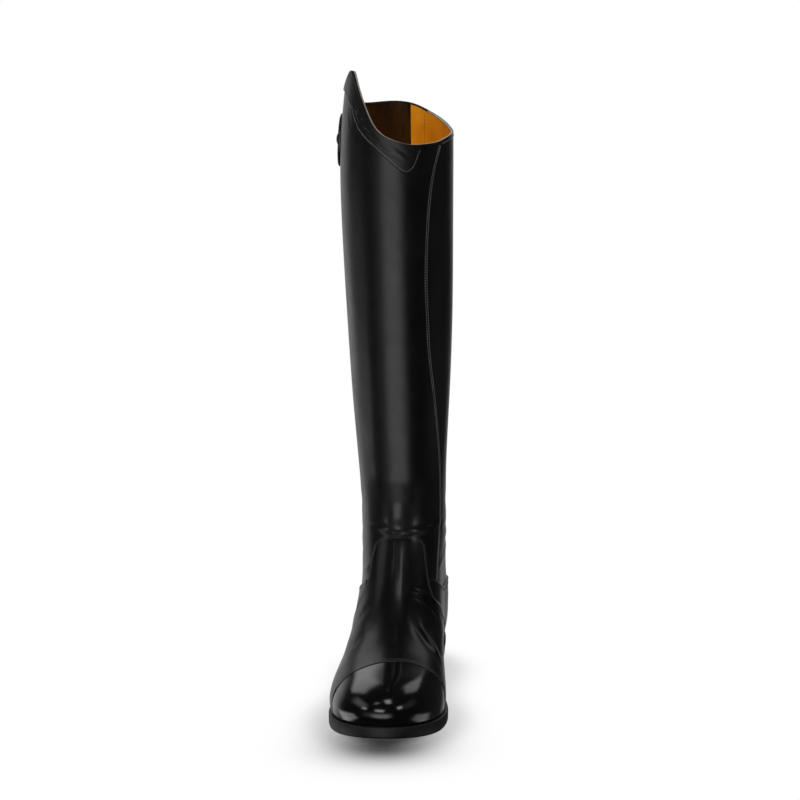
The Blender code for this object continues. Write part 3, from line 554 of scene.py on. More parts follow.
def woven(name, dark, light, scale, depth, rough=0.85):
    """Tape or elastic: fine ribs crossed by finer yarn."""
    material, tree, shader = new_material(name)
    place = tree.nodes.new("ShaderNodeTexCoord")
    ribs = set_inputs(tree.nodes.new("ShaderNodeTexWave"), Scale=scale, Distortion=0.6, Detail=1.0)
    ribs.bands_direction = "Z"
    tree.links.new(place.outputs["Object"], ribs.inputs["Vector"])
    yarn = noise(tree, 1400.0, 4.0, 0.7)
    normal = bump(tree, ribs.outputs["Fac"], 0.6, depth)
    dress(tree, shader, colours(tree, yarn, dark, light), bump(tree, yarn, 0.7, depth * 0.6, normal))
    set_inputs(shader, Roughness=rough)
    return material


def plain_hide(name, dark, light, rough, grain):
    """Lining leather, cut edges and thread."""
    material, tree, shader = new_material(name)
    cloud = noise(tree, 70.0, 6.0, 0.65)
    fine = noise(tree, 1100.0, 5.0, 0.7)
    colour = colours(tree, cloud, dark, light, 0.25, 0.75)
    dress(tree, shader, colour, bump(tree, fine, 0.6, grain), ranged(tree, fine, rough - 0.1, rough + 0.1))
    return material


BLACK_DYE = ((0.0008, 0.0008, 0.0009), (0.002, 0.002, 0.0022))
BLACK = leather("black_leather", *BLACK_DYE, (0.32, 0.42), 0.28, 0.14, 0.00002, 0.0007)
VAMP_BLACK = leather("vamp_leather", *BLACK_DYE, (0.3, 0.38), 0.24, 0.12, 0.00002, 0.0006, 0.36)
CAP_BLACK = leather(
    "cap_leather", (0.0008, 0.0008, 0.0009), (0.0018, 0.0018, 0.002), (0.15, 0.21), 0.75, 0.06, 0.000008, 0.0004
)
TOP_BLACK = leather(
    "top_leather", (0.0018, 0.0018, 0.002), (0.0045, 0.0045, 0.005), (0.36, 0.48), 0.2, 0.22, 0.00007, 0.0012
)
DARK_LINING = leather(
    "dark_lining", (0.001, 0.001, 0.001), (0.003, 0.003, 0.003), (0.3, 0.45), 0.2, 0.12, 0.0002, 0.002
)
# The thread is black, painted grey as painted sheen: slightly for most rows, much lighter for the shaft's and
# band's rows, so those seams show as light dotted lines
THREAD = plain_hide("thread", (0.04, 0.04, 0.042), (0.11, 0.11, 0.114), 0.45, 0.00006)
SHEEN_PAINTED_THREAD = plain_hide("thread_painted_sheen", (0.12, 0.12, 0.124), (0.34, 0.34, 0.35), 0.45, 0.00006)
TAN = plain_hide("tan_lining", (0.72, 0.26, 0.006), (0.95, 0.45, 0.016), 0.55, 0.00012)
TAN_THREAD = plain_hide("tan_thread", (0.16, 0.07, 0.01), (0.28, 0.13, 0.02), 0.6, 0.00005)
RIM_EDGE = plain_hide("rim_edge", (0.11, 0.1, 0.08), (0.32, 0.29, 0.24), 0.6, 0.00015)
RIM_BLACK = plain_hide("rim_black", (0.002, 0.002, 0.002), (0.006, 0.006, 0.006), 0.5, 0.00015)
COIL = plain_hide("zip_coil", (0.008, 0.008, 0.009), (0.02, 0.02, 0.022), 0.4, 0.00003)
SOLE_BLACK = rubber("sole_rubber", (0.006, 0.006, 0.0065), (0.013, 0.013, 0.014), (0.44, 0.6))
ELASTIC = woven("elastic", (0.005, 0.005, 0.006), (0.022, 0.022, 0.024), 300.0, 0.0002)
TAPE = woven("zip_tape", (0.006, 0.006, 0.007), (0.02, 0.02, 0.022), 600.0, 0.00015, 0.75)
METAL = metal("dark_metal", (0.09, 0.09, 0.095), 0.24)


def finish_piece(obj, material, slot, *nodes, body="boot"):
    obj.data.materials.append(material)
    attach(obj, body)
    if nodes:
        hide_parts(*nodes)


# Upper
def shaft_lap(level):
    """How thick the front shaft panel is: thin under the foot's panels, full above the ankle."""
    return 0.85 * (LAP_AT_FOOT + (1 - LAP_AT_FOOT) * smooth((level - LAP_FROM) / (LAP_TO - LAP_FROM)))


def shaft_top(angle, level):
    """Where the front shaft panel's outside lies."""
    return -wall_depth(level) - 0.45 + shaft_lap(level)


def shaft_grid(first, last, columns_mm, rows_mm):
    """Places between two side lines, which are functions of level, up to the collar."""
    shares = steps_between(columns_mm, 2.2)
    rows = steps_between(rows_mm, 2.0, (0.0, 0.5, 1.2))
    angle = np.repeat((first(300.0) + (last(300.0) - first(300.0)) * shares)[:, None], len(rows), 1)
    for _ in range(6):
        low = np.full(len(angle), FOOT_LEVEL)
        high = rim_level(angle[:, -1]) - 0.55
        level = low[:, None] + (high - low)[:, None] * rows
        angle = first(level) + (last(level) - first(level)) * shares[:, None]
    return angle, level


def gusset_edge(level):
    top = rim_level(GUSSET_ANGLES[0])
    share = smooth((level - GUSSET_FOOT_LEVEL) / (top - GUSSET_FOOT_LEVEL))
    return GUSSET_FOOT_ANGLE + (GUSSET_ANGLES[0] - GUSSET_FOOT_ANGLE) * share


def make_shaft():
    angle, level = shaft_grid(SEAM_AT, lambda v: 0 * v + ZIP_ANGLES[0] - 0.5, 172.0, 480.0)
    front = panel("shaft_front", angle, level, -wall_depth(level) - 0.45, shaft_lap(level), (1, 1, 0, 0))
    finish_piece(front, BLACK, "black_leather", "upper")
    angle, level = shaft_grid(
        lambda v: 0 * v + ZIP_ANGLES[1] + 0.5, lambda v: SEAM_AT(v) + 360 + 0.2, 96.0, 480.0
    )
    medial = panel("shaft_medial", angle, level, -wall_depth(level) - 0.75, 0.4, (1, 0, 0, 0), 0.5)
    finish_piece(medial, BLACK, "black_leather")


def make_foot():
    cap_ends = (CAP_EDGE[0][0], CAP_EDGE[-1][0])
    angles = angle_places(*cap_ends, 1.1)
    low = np.full(len(angles), FOOT_LEVEL)
    angle, level = between(angles, low, cap_level(angles) + 1.6, 1.3)
    cap = panel("toe_cap_panel", angle, level, -wall_depth(level) - 0.1, 1.2, (0, 0, 1, 0))
    finish_piece(cap, CAP_BLACK, "cap_leather", "toe_cap")

    angles = angle_places(VAMP_EDGE[0][0], VAMP_EDGE[-1][0], 1.25, cap_ends)
    step = np.array((0.0, 0.12, 0.3, 0.6))
    angles = np.unique(np.concatenate([angles, cap_ends[0] - step, cap_ends[1] + step]))
    inside = (angles >= cap_ends[0] - 1e-6) & (angles <= cap_ends[1] + 1e-6)
    low = np.where(inside, cap_level(angles) + 0.2, FOOT_LEVEL)
    angle, level = between(angles, low, vamp_level(angles), 1.5)
    vamp = panel("vamp_panel", angle, level, -wall_depth(level) - 0.1, 1.6, (1, 1, 1, 1), 0.9)
    finish_piece(vamp, VAMP_BLACK, "black_leather", "vamp")

    first, last = COUNTER_TOP[0][0] + 1, COUNTER_TOP[-1][0] - 1
    foot = (VAMP_EDGE[-1][0] - 1.5, 360 + VAMP_EDGE[0][0] + 1.5)
    angles = angle_places(first, last, 1.5, foot)
    a = (angles + 180) % 360 - 180
    low = np.where((angles > foot[0]) & (angles < foot[1]), FOOT_LEVEL, vamp_level(a) - 2.2)
    high = np.maximum(counter_level(angles), low + 1.2)
    angle, level = between(angles, low, high, 1.6)
    counter = panel("counter_panel", angle, level, -wall_depth(level) - 0.1, 1.15, (0, 0, 1, 1))
    finish_piece(counter, BLACK, "black_leather", "counter")


def make_top_panel():
    angles = angle_places(TOP_PANEL_EDGE[0][0], TOP_PANEL_EDGE[-1][0], 1.2)
    low = top_panel_level(angles)
    high = np.maximum(rim_level(angles) - 0.3, low + 0.8)
    angle, level = between(angles, low, high, 1.2)
    piece = panel("top_band", angle, level, 0.3 + 0 * level, 1.15, (1, 1, 1, 0), 0.7)
    finish_piece(piece, TOP_BLACK, "top_leather", "top_panel")


def outer_offset(angle):
    """How far the outside stands out at the collar."""
    a = (np.asarray(angle, float) + 180) % 360 - 180
    band = smooth((a - TOP_PANEL_EDGE[0][0]) / 1.2) * smooth((TOP_PANEL_EDGE[-1][0] - a) / 1.2)
    seam = float(SEAM_AT(480.0))
    front = smooth((a - seam) / 1.0) * smooth((176 - a) / 2.0)
    return -0.35 + 0.75 * front + 1.0 * band


def collar_ring(name, angles, outside, inside, drop, material, slot):
    """Rounded ring, or arc with closed ends, round the collar between two offsets."""
    turns = np.radians(np.linspace(-60, 240, 13))
    middle, half = (outside + inside) / 2, (outside - inside) / 2
    offset = middle[:, None] + half[:, None] * np.cos(turns)
    level = rim_level(angles)[:, None] - 0.9 - drop + 0.85 * np.sin(turns)
    angle = np.repeat(angles[:, None], len(turns), 1)
    ring = skin(angle, level, offset)
    columns, rows = ring.shape[:2]
    whole = angles[-1] - angles[0] > 358
    faces = []
    for i in range(columns if whole else columns - 1):
        for j in range(rows):
            faces.append((
                i * rows + j, (i + 1) % columns * rows + j,
                (i + 1) % columns * rows + (j + 1) % rows, i * rows + (j + 1) % rows,
            ))
    if not whole:
        faces.append(list(range(rows))[::-1])
        faces.append(list(range((columns - 1) * rows, columns * rows)))
    finish_piece(make_object(name, ring.reshape(-1, 3), faces), material, slot)


def make_collar():
    angles = np.arange(0, 360, 1.0)
    outside = outer_offset(angles) + 0.06
    collar_ring("collar_roll", angles, outside, -0.95, 0.0, BLACK, "black_leather")
    for name, first, last, material, slot in (
        ("collar_edge", -150, 90.5, RIM_EDGE, "insole_leather"),
        ("collar_edge_back", 90, 210.5, RIM_BLACK, "black_leather"),
    ):
        angles = np.arange(first, last, 1.0)
        collar_ring(name, angles, -0.9 + 0 * angles, -WALL - 0.35, 0.12, material, slot)


def lining_part(name, first, last, material, slot, extra=None):
    angles = np.arange(first, last + 0.01, 1.5)
    shares = np.concatenate([np.linspace(0, 0.3, 40)[:-1], np.linspace(0.3, 1, 90)])
    foot = 3.5
    high = rim_level(angles) - 0.8
    level = foot + (high - foot)[:, None] * shares
    angle = np.repeat(angles[:, None], level.shape[1], 1)
    depth = wall_depth(level) + WALL
    height = 0 if extra is None else extra(angle, level)
    outer = skin(angle, level, -depth + 0.5)
    inner = skin(angle, level, -depth - 0.25 + height)
    finish_piece(wall(name, inner, outer), material, slot)


def make_lining():
    def folds(angle, level):
        near_top = smooth((level - (rim_level(180.0) - 34)) / 10)
        ripple = np.sin(np.radians(angle * 19 + level * 7)) + 0.7 * np.sin(np.radians(angle * 31 - level * 13))
        return 0.55 * near_top * (0.4 + ripple) * 0.5

    lining_part("lining_dark", 112, 189.5, DARK_LINING, "black_leather", folds)
    lining_part("lining_tan", 189.5, 472, TAN, "insole_leather")


# Back closure
def make_gusset():
    top = rim_level(GUSSET_ANGLES[0]) - 1.0
    rows = np.linspace(GUSSET_FOOT_LEVEL, top, 190)
    shares = np.linspace(0, 1, 90)
    edge = gusset_edge(rows)
    angle = edge[None, :] + (GUSSET_ANGLES[1] - edge)[None, :] * shares[:, None]
    level = np.repeat(rows[None, :], len(shares), 0)
    rib = 0.16 * np.cos(shares * 2 * np.pi * 17)[:, None]
    pucker = 0.12 * np.sin(rows / 3.1 + 1.7 * np.sin(rows / 17))[None, :]
    border = rounding(np.minimum(shares, 1 - shares) * 20, 1.0)[:, None]
    offset = 0.75 + 0.3 * border + (rib + pucker) * border
    outer = skin(angle, level, offset)
    inner = skin(angle, level, 0.35 + 0 * level)
    piece = wall("gusset_elastic", inner, outer, sharp=80)
    finish_piece(piece, ELASTIC, "black_elastic", "elastic_gusset")


def make_zip():
    top = float(rim_level(180)) - 1.0
    rows = np.linspace(98, top, 200)
    for name, a, b in (("tape_lateral", ZIP_ANGLES[0], 179.3), ("tape_medial", 180.7, ZIP_ANGLES[1])):
        cols = np.linspace(a, b, 7)
        angle = np.repeat(cols[:, None], len(rows), 1)
        level = np.repeat(rows[None, :], len(cols), 0)
        outer = skin(angle, level, 0.85 + 0 * level)
        inner = skin(angle, level, 0.3 + 0 * level)
        piece = wall("zip_" + name, inner, outer)
        finish_piece(piece, TAPE, "zip_tape", *(("zip",) if a < 180 else ()))
    points, faces = [], []
    pitch = 1.5
    count = int((top - 101) / pitch)
    shape = [(-1.9, 0.3), (-1.9, 1.2), (-1.3, 1.55), (0.9, 1.55), (1.25, 1.2), (1.25, 0.3)]
    for i in range(count):
        level = 100 + pitch * i
        side = 1 if i % 2 else -1
        centre = skin(180.0, level, 0.0)
        normal = outward(180.0, level)
        up = unit(form(180.0, level + 1) - form(180.0, level - 1))
        cross = unit(np.cross(up, normal)) * side
        start = len(points)
        for end in (-0.62, 0.62):
            for across, out in shape:
                points.append(centre + cross * (-across) + normal * out + up * end)
        n = len(shape)
        faces.append(list(range(start, start + n))[::-1])
        faces.append(list(range(start + n, start + 2 * n)))
        for k in range(n):
            m = (k + 1) % n
            faces.append((start + k, start + m, start + n + m, start + n + k))
    finish_piece(make_object("zip_teeth", np.array(points), faces, 30), COIL, "zip_tape")


def bevelled_box(size, centre, width):
    shape = bmesh.new()
    matrix = Matrix.Translation(Vector(centre)) @ Matrix.Diagonal((*size, 1.0))
    bmesh.ops.create_cube(shape, size=1.0, matrix=matrix)
    bmesh.ops.bevel(shape, geom=list(shape.edges), offset=width, segments=3, profile=0.6, affect="EDGES")
    points = np.array([v.co[:] for v in shape.verts])
    shape.verts.index_update()
    faces = [[v.index for v in f.verts] for f in shape.faces]
    shape.free()
    return points, faces


def joined(parts):
    points, faces, start = [], [], 0
    for p, f in parts:
        points.append(np.asarray(p))
        faces += [[i + start for i in face] for face in f]
        start += len(p)
    return np.concatenate(points), faces


def rounded_loop(width, low, high, radius):
    """Corners-rounded rectangle of (x, z) points, seven points to a corner."""
    x, points = width / 2 - radius, []
    corners = ((x, high - radius), (-x, high - radius), (-x, low + radius), (x, low + radius))
    for quarter, (cx, cz) in enumerate(corners):
        for k in range(7):
            t = math.radians(90 * quarter + 90 * k / 6)
            points.append((cx + radius * math.cos(t), cz + radius * math.sin(t)))
    return points


# Middle of the slider's front plate, out from the teeth
SLIDER_OUT = 2.6
# Boxes of the slider: size, centre and bevel, with Y out and Z up as in the solids
SLIDER_BOXES = (
    ((8.8, 1.0, 9.6), (0, -0.5, -1.0), 0.42),
    ((6.4, 0.9, 3.4), (0, -0.5, 4.2), 0.4),
    ((8.6, 0.7, 9.4), (0, -2.2, -1.0), 0.3),
    ((3.0, 1.6, 3.0), (0, -1.4, 4.0), 0.35),
    ((1.6, 3.1, 1.1), (0, 1.4, -3.6), 0.32),
    ((1.6, 3.1, 1.1), (0, 1.4, 3.6), 0.32),
    ((1.6, 0.95, 8.2), (0, 2.5, 0), 0.32),
)
# Loops of the pull's plate: width, foot, top and corner radius of its outline, window and slot
PULL_LOOPS = ((6.4, -21.4, 0.6, 1.984), (3.2, -8.75, -0.62, 1.344), (2.6, -19.1, -15.7, 1.092))
PULL_THICK = 1.2


def make_slider():
    level = float(level_at_height(SLIDER_Z))
    normal = outward(180.0, level)
    face = form(180.0, level) + normal * (GAP + ZIP_THICK + GAP + SLIDER_OUT)
    body = [bevelled_box(*row) for row in SLIDER_BOXES]
    points, faces = joined(body)
    points = points + face
    finish_piece(make_object("slider_body", points, faces, 40), METAL, "dark_metal", "zip_slider")
    mesh = bmesh.new()
    loops = []
    for row in PULL_LOOPS:
        loop = rounded_loop(*row)
        verts = [mesh.verts.new((x, 0, z)) for x, z in loop]
        loops.append([mesh.edges.new((a, b)) for a, b in zip(verts, verts[1:] + verts[:1])])
    bmesh.ops.triangle_fill(mesh, use_beauty=True, edges=[e for loop in loops for e in loop])
    flat = list(mesh.faces)
    made = bmesh.ops.extrude_face_region(mesh, geom=flat)
    for v in (g for g in made["geom"] if isinstance(g, bmesh.types.BMVert)):
        v.co.y += PULL_THICK
    bmesh.ops.translate(mesh, verts=mesh.verts, vec=(0, -PULL_THICK / 2, 0))
    rims = [e for e in mesh.edges if len(e.link_faces) == 2 and e.calc_face_angle(0) > 0.9]
    bmesh.ops.bevel(
        mesh, geom=rims, offset=0.28, segments=2, profile=0.6, affect="EDGES", clamp_overlap=True
    )
    mesh.verts.index_update()
    points = np.array([v.co[:] for v in mesh.verts]) + face + np.array((0, 1.0, 0))
    faces = [[v.index for v in f.verts] for f in mesh.faces]
    mesh.free()
    plate = make_object("pull_plate", points, faces, 40)
    finish_piece(plate, METAL, "dark_metal", "zip_pull", body="pull")


def tab_seat(angle, level):
    over_panel = PANEL_LAP + 0.4
    over_gusset = PANEL_LAP + GAP + GUSSET_THICK + GAP
    over_zip = GAP + ZIP_THICK + 0.4
    rise = over_panel + (over_gusset - over_panel) * smooth((angle - 138) / 10)
    rise = rise + (over_zip - over_gusset) * smooth((angle - 166) / 7)
    return rise + (0.25 - over_zip) * smooth((angle - 187) / 6)


def tab_half(angle):
    half = (TAB_Z[1] - TAB_Z[0]) / 2
    share = np.minimum((angle - TAB_ANGLES[0] + 0.15) / TAB_TIP, 1.0)
    return half * np.sqrt(np.maximum(1 - (1 - share) ** 2, 0))


def make_tab():
    middle = (TAB_Z[0] + TAB_Z[1]) / 2
    tip = TAB_ANGLES[0] + TAB_TIP * np.linspace(0, 1, 22) ** 2
    angles = np.concatenate([tip, np.linspace(tip[-1], TAB_ANGLES[1], 84)[1:]])
    half = tab_half(angles)
    low, high = level_at_height(middle - half), level_at_height(middle + half)
    shares = steps_between(44.0, 1.3)
    level = low[:, None] + (high - low)[:, None] * shares
    angle = np.repeat(angles[:, None], len(shares), 1)
    piece = panel("tab_strap", angle, level, tab_seat(angle, level), 2.0, (1, 1, 1, 1), 0.9)
    finish_piece(piece, BLACK, "black_leather", "snap_tab")


def turned(profile, around):
    points, faces = [], []
    for radius, height in profile:
        for i in range(around):
            a = 2 * math.pi * i / around
            points.append((radius * math.cos(a), radius * math.sin(a), height))
    rings = len(profile)
    for r in range(rings - 1):
        for i in range(around):
            j = (i + 1) % around
            faces.append((r * around + i, r * around + j, (r + 1) * around + j, (r + 1) * around + i))
    faces.append(list(range(around))[::-1])
    faces.append([(rings - 1) * around + i for i in range(around)])
    return np.array(points), faces


def make_snap():
    level = float(level_at_height((TAB_Z[0] + TAB_Z[1]) / 2))
    seat = float(tab_seat(SNAP_ANGLE, level)) + 2.0
    normal = outward(SNAP_ANGLE, level)
    profile = [
        (5.4, -0.25), (6.0, 0.0), (6.1, 0.4), (5.85, 0.75), (5.3, 0.85), (5.0, 0.8), (4.8, 1.0),
        (4.75, 1.5), (4.5, 2.1), (3.9, 2.6), (3.0, 2.95), (2.0, 3.12), (1.0, 3.2), (0.3, 3.22),
    ]
    points, faces = turned(profile, 48)
    turn = np.array(Vector(normal).to_track_quat("Z", "Y").to_matrix())
    points = points @ turn.T + form(SNAP_ANGLE, level) + normal * (seat + 0.35)
    finish_piece(make_object("snap_cap", points, faces), METAL, "dark_metal", "snap")


def make_spur_rest():
    angles = angle_places(130.0, 230.0, 1.2)
    edge = counter_level(angles)
    low, high = edge - 11.0, edge - 3.5
    angle, level = between(angles, low, high, 0.8)
    reach = 3.4 * np.sqrt(np.maximum(np.sin(np.radians((angle - 125) / 110 * 180)), 0.02))
    piece = panel("spur_ledge", angle, level, -wall_depth(level) + 1.0, reach + 0.5, (1, 1, 1, 1), 1.5)
    finish_piece(piece, BLACK, "black_leather", "spur_rest")


# Sole
def outline(angle, margin):
    step = form(angle + 0.5, 0) - form(angle - 0.5, 0)
    side = unit(np.stack([step[..., 1], -step[..., 0], 0 * step[..., 0]], -1))
    away = form(angle, 0) - form(angle + 180, 0)
    side = side * np.sign((side * away).sum(-1, keepdims=True))
    return form(angle, 0) + side * np.asarray(margin)[..., None]


def sole_bottom(y):
    front, back = FOREFOOT_FLAT
    reach = front - SECTIONS[0, 0] + SOLE_MARGIN
    spring = TOE_SPRING * np.clip((front - y) / reach, 0, 1.05) ** 1.5
    return np.where(y < front, spring, np.where(y <= back, 0.0, np.maximum(ARCH_AT(y), 0)))


def sole_top(y):
    return SOLE_TOP_AT(np.clip(y, SOLE_TOP[0][0], SOLE_TOP[-1][0]))


def sole_middle(y):
    return (sole_bottom(y) + sole_top(y)) / 2


def heel_seat(y):
    return sole_bottom(y) - GAP


def ground(y):
    return 0 * y


def ring_table(margin, rows):
    """Side rings of a slab from rows of: shift out from the margin, surface, and height over it."""
    return [(margin + out, lambda y, base=base, up=up: base(y) + up) for out, base, up in rows]


def slab(name, angles, rings, bottom_relief, across):
    """Closed slab: side rings of (margin, height) round the outline, and grids over both faces."""
    count = len(angles)
    sides = []
    for margin, height in rings:
        pair = [outline(turn * angles, np.full(count, margin)) for turn in (1, -1)]
        for side in pair:
            side[:, 2] = height(side[:, 1])
        sides.append(pair)
    points, faces = [p for pair in sides for side in pair for p in side], []

    def at(ring, side, i):
        return (ring * 2 + side) * count + i

    last = len(rings) - 1
    for ring in range(last):
        for side in (0, 1):
            for i in range(count - 1):
                low, high = (at(ring, side, i), at(ring, side, i + 1)), at(ring + 1, side, i)
                faces.append((*low, high + 1, high))
        for i in (0, count - 1):
            faces.append((at(ring, 0, i), at(ring, 1, i), at(ring + 1, 1, i), at(ring + 1, 0, i)))
    for ring, shape in ((0, bottom_relief), (last, None)):
        right, left = sides[ring]
        start = len(points)
        grid = np.array([right + (left - right) * k / across for k in range(1, across)])
        if shape is not None:
            edge = np.minimum(np.arange(1, across), across - np.arange(1, across)) / across
            ends = np.minimum(np.arange(count), count - 1 - np.arange(count))
            grid[..., 2] += shape(grid) * (edge > 0.045)[:, None] * (ends > 2)[None, :]
        points += [p for row in grid for p in row]

        def inner(k, i):
            if k == 0:
                return at(ring, 0, i)
            if k == across:
                return at(ring, 1, i)
            return start + (k - 1) * count + i

        for k in range(across):
            for i in range(count - 1):
                faces.append((inner(k, i), inner(k, i + 1), inner(k + 1, i + 1), inner(k + 1, i)))
    return make_object(name, np.array(points), faces, 42)


def make_sole():
    def tread(grid):
        y = grid[..., 1] + 2.5 * np.cos(grid[..., 0] / 9)
        wave = (y / 3.2) % 1
        groove = smooth((0.22 - np.abs(wave - 0.5)) / 0.08)
        zone = smooth((-128 - grid[..., 1]) / 3) * smooth((grid[..., 1] + 226) / 3)
        return 0.7 * groove * zone

    def even_angles(first, last, step):
        """Angles whose outline points lie evenly along the foot."""
        fine = np.linspace(first, last, 4000)
        run = np.concatenate([[0], np.cumsum(np.linalg.norm(np.diff(form(fine, 0), axis=0), axis=-1))])
        return np.interp(np.linspace(0, run[-1], int(run[-1] / step) + 1), run, fine)

    m = SOLE_MARGIN
    rings = ring_table(m, (
        (-1.5, sole_bottom, 0), (-0.75, sole_bottom, 0.18), (-0.28, sole_bottom, 0.6),
        (-0.06, sole_bottom, 1.3), (0, sole_middle, 0), (-0.02, sole_top, -1.9), (-0.25, sole_top, -1.0),
        (-0.75, sole_top, -0.5), (-1.4, sole_top, -0.36),
        # low rib that closes the feather line
        (-2.15 - m, sole_top, -0.3), (-2.2 - m, sole_top, 1.2), (-2.75 - m, sole_top, 1.2),
        (-2.8 - m, sole_top, -0.36),
    ))
    piece = slab("sole_body", even_angles(0.6, 179.4, 0.8), rings, tread, 26)
    finish_piece(piece, SOLE_BLACK, "black_rubber", "outsole")

    first = SECTIONS[0]
    share = (HEEL_BREAST_Y - first[0]) / (first[2] - first[0])
    breast = math.degrees(math.acos(1 - 2 * share))

    def heel_tread(grid):
        cell = (grid[..., 1] / 3.4) % 1
        groove = smooth((0.2 - np.abs(cell - 0.5)) / 0.08)
        zone = smooth((grid[..., 1] + 20) / 2) * smooth((26 - grid[..., 1]) / 2)
        return 0.6 * groove * zone

    t = HEEL_TAPER
    rings = ring_table(m, (
        (-t - 1.1, ground, 0), (-t - 0.35, ground, 0.3), (-t, ground, 1.2), (-t + 0.05, ground, 5.6),
        # line of the top piece
        (-t - 0.3, ground, 5.95), (-t - 0.3, ground, 6.25), (-t + 0.15, ground, 6.6),
        (-0.75 * t, ground, 11.0), (-0.42 * t, ground, 16.5),
        (-0.2 * t, heel_seat, -1.2), (-0.8, heel_seat, -0.2), (-1.2, heel_seat, 0),
    ))
    piece = slab("heel_block", even_angles(breast, 179.4, 0.8), rings, heel_tread, 24)
    finish_piece(piece, SOLE_BLACK, "black_rubber", "heel")

    inset = -(OVERLAY_DEPTH + WALL + 0.55)
    rings = ring_table(inset, (
        (-0.4, sole_top, 0), (0, sole_top, 0.8), (0, sole_top, 2.4), (-0.4, sole_top, 2.8), (-1.0, sole_top, 3.0),
    ))
    piece = slab("footbed", even_angles(1.0, 179.0, 2.0), rings, None, 14)
    finish_piece(piece, TAN, "insole_leather", "insole")


# Stitches
def beside(path, shift):
    """A line of places moved sideways in the surface by a shift in millimetres, to its left."""
    path = np.asarray(path, float)
    angle, level = path[:, 0], path[:, 1]
    da = (form(angle + 0.25, level) - form(angle - 0.25, level)) / 0.5
    dl = (form(angle, level + 0.25) - form(angle, level - 0.25)) / 0.5
    along = unit(np.gradient(form(angle, level), axis=0))
    left = unit(np.cross(outward(angle, level), along)) * shift
    aa, al, ll = (da * da).sum(-1), (da * dl).sum(-1), (dl * dl).sum(-1)
    ra, rl = (left * da).sum(-1), (left * dl).sum(-1)
    det = aa * ll - al * al
    return np.stack([angle + (ra * ll - rl * al) / det, level + (rl * aa - ra * al) / det], -1)


STITCHES = {}
# The shaft's and band's rows take the copy of the thread painted lighter as painted sheen
THREADS = {
    "lining": (TAN_THREAD, "insole_leather"),
    "shaft": (SHEEN_PAINTED_THREAD, "black_leather"),
    "band": (SHEEN_PAINTED_THREAD, "black_leather"),
}


# Share of a stitch's pitch that shows, and its rings: place along it, width and height over the leather
STITCH_SHARE = 0.66
STITCH_RINGS = (
    (-1.0, 0.35, -0.25), (-0.72, 0.85, 0.02), (0.0, 1.0, 0.12), (0.72, 0.85, 0.02), (1.0, 0.35, -0.25),
)
STITCH_SIDES = 6


def stitch_row(group, path, offset, pitch=2.3, radius=0.3):
    """Thread along a line of places: short rounded stitches half sunk in the leather."""
    fine = finer(path, 12) if len(path) < 60 else path
    p = skin(fine[:, 0], fine[:, 1], offset(fine[:, 0], fine[:, 1]))
    n = outward(fine[:, 0], fine[:, 1])
    run = np.concatenate([[0], np.cumsum(np.linalg.norm(np.diff(p, axis=0), axis=-1))])
    count = int(run[-1] / pitch)
    store = STITCHES.setdefault(group, [])
    turns = np.radians(np.arange(STITCH_SIDES) * 360 / STITCH_SIDES)
    for i in range(count):
        mid = (i + 0.5) * run[-1] / count
        half = pitch * STITCH_SHARE / 2
        at = [mid + half * s[0] for s in STITCH_RINGS]
        c = np.stack([np.interp(at, run, p[:, k]) for k in range(3)], -1)
        m = unit(np.array([np.interp(mid, run, n[:, k]) for k in range(3)]))
        t = unit(c[-1] - c[0])
        side = np.cross(t, m)
        verts = []
        for (_, scale, up), centre in zip(STITCH_RINGS, c):
            for a in turns:
                rise = up * radius * 2 + math.sin(a) * radius * scale
                verts.append(centre + m * rise + side * (math.cos(a) * radius * scale))
        store.append(np.array(verts))


def make_stitches():
    n, last = STITCH_SIDES, len(STITCH_RINGS) - 1
    local = []
    for r in range(last):
        for k in range(n):
            j = (k + 1) % n
            local.append((r * n + k, r * n + j, (r + 1) * n + j, (r + 1) * n + k))
    local.append(tuple(range(n))[::-1])
    local.append(tuple(last * n + k for k in range(n)))
    each = n * len(STITCH_RINGS)
    for group, items in STITCHES.items():
        points = np.concatenate(items)
        faces = [tuple(i + each * s for i in f) for s in range(len(items)) for f in local]
        mesh = bpy.data.meshes.new("stitches_" + group)
        mesh.from_pydata((points * MM).tolist(), [], faces)
        mesh.polygons.foreach_set("use_smooth", np.ones(len(mesh.polygons), bool))
        obj = bpy.data.objects.new("stitches_" + group, mesh)
        bpy.context.scene.collection.objects.link(obj)
        thread, slot = THREADS.get(group, (THREAD, "black_leather"))
        finish_piece(obj, thread, slot)


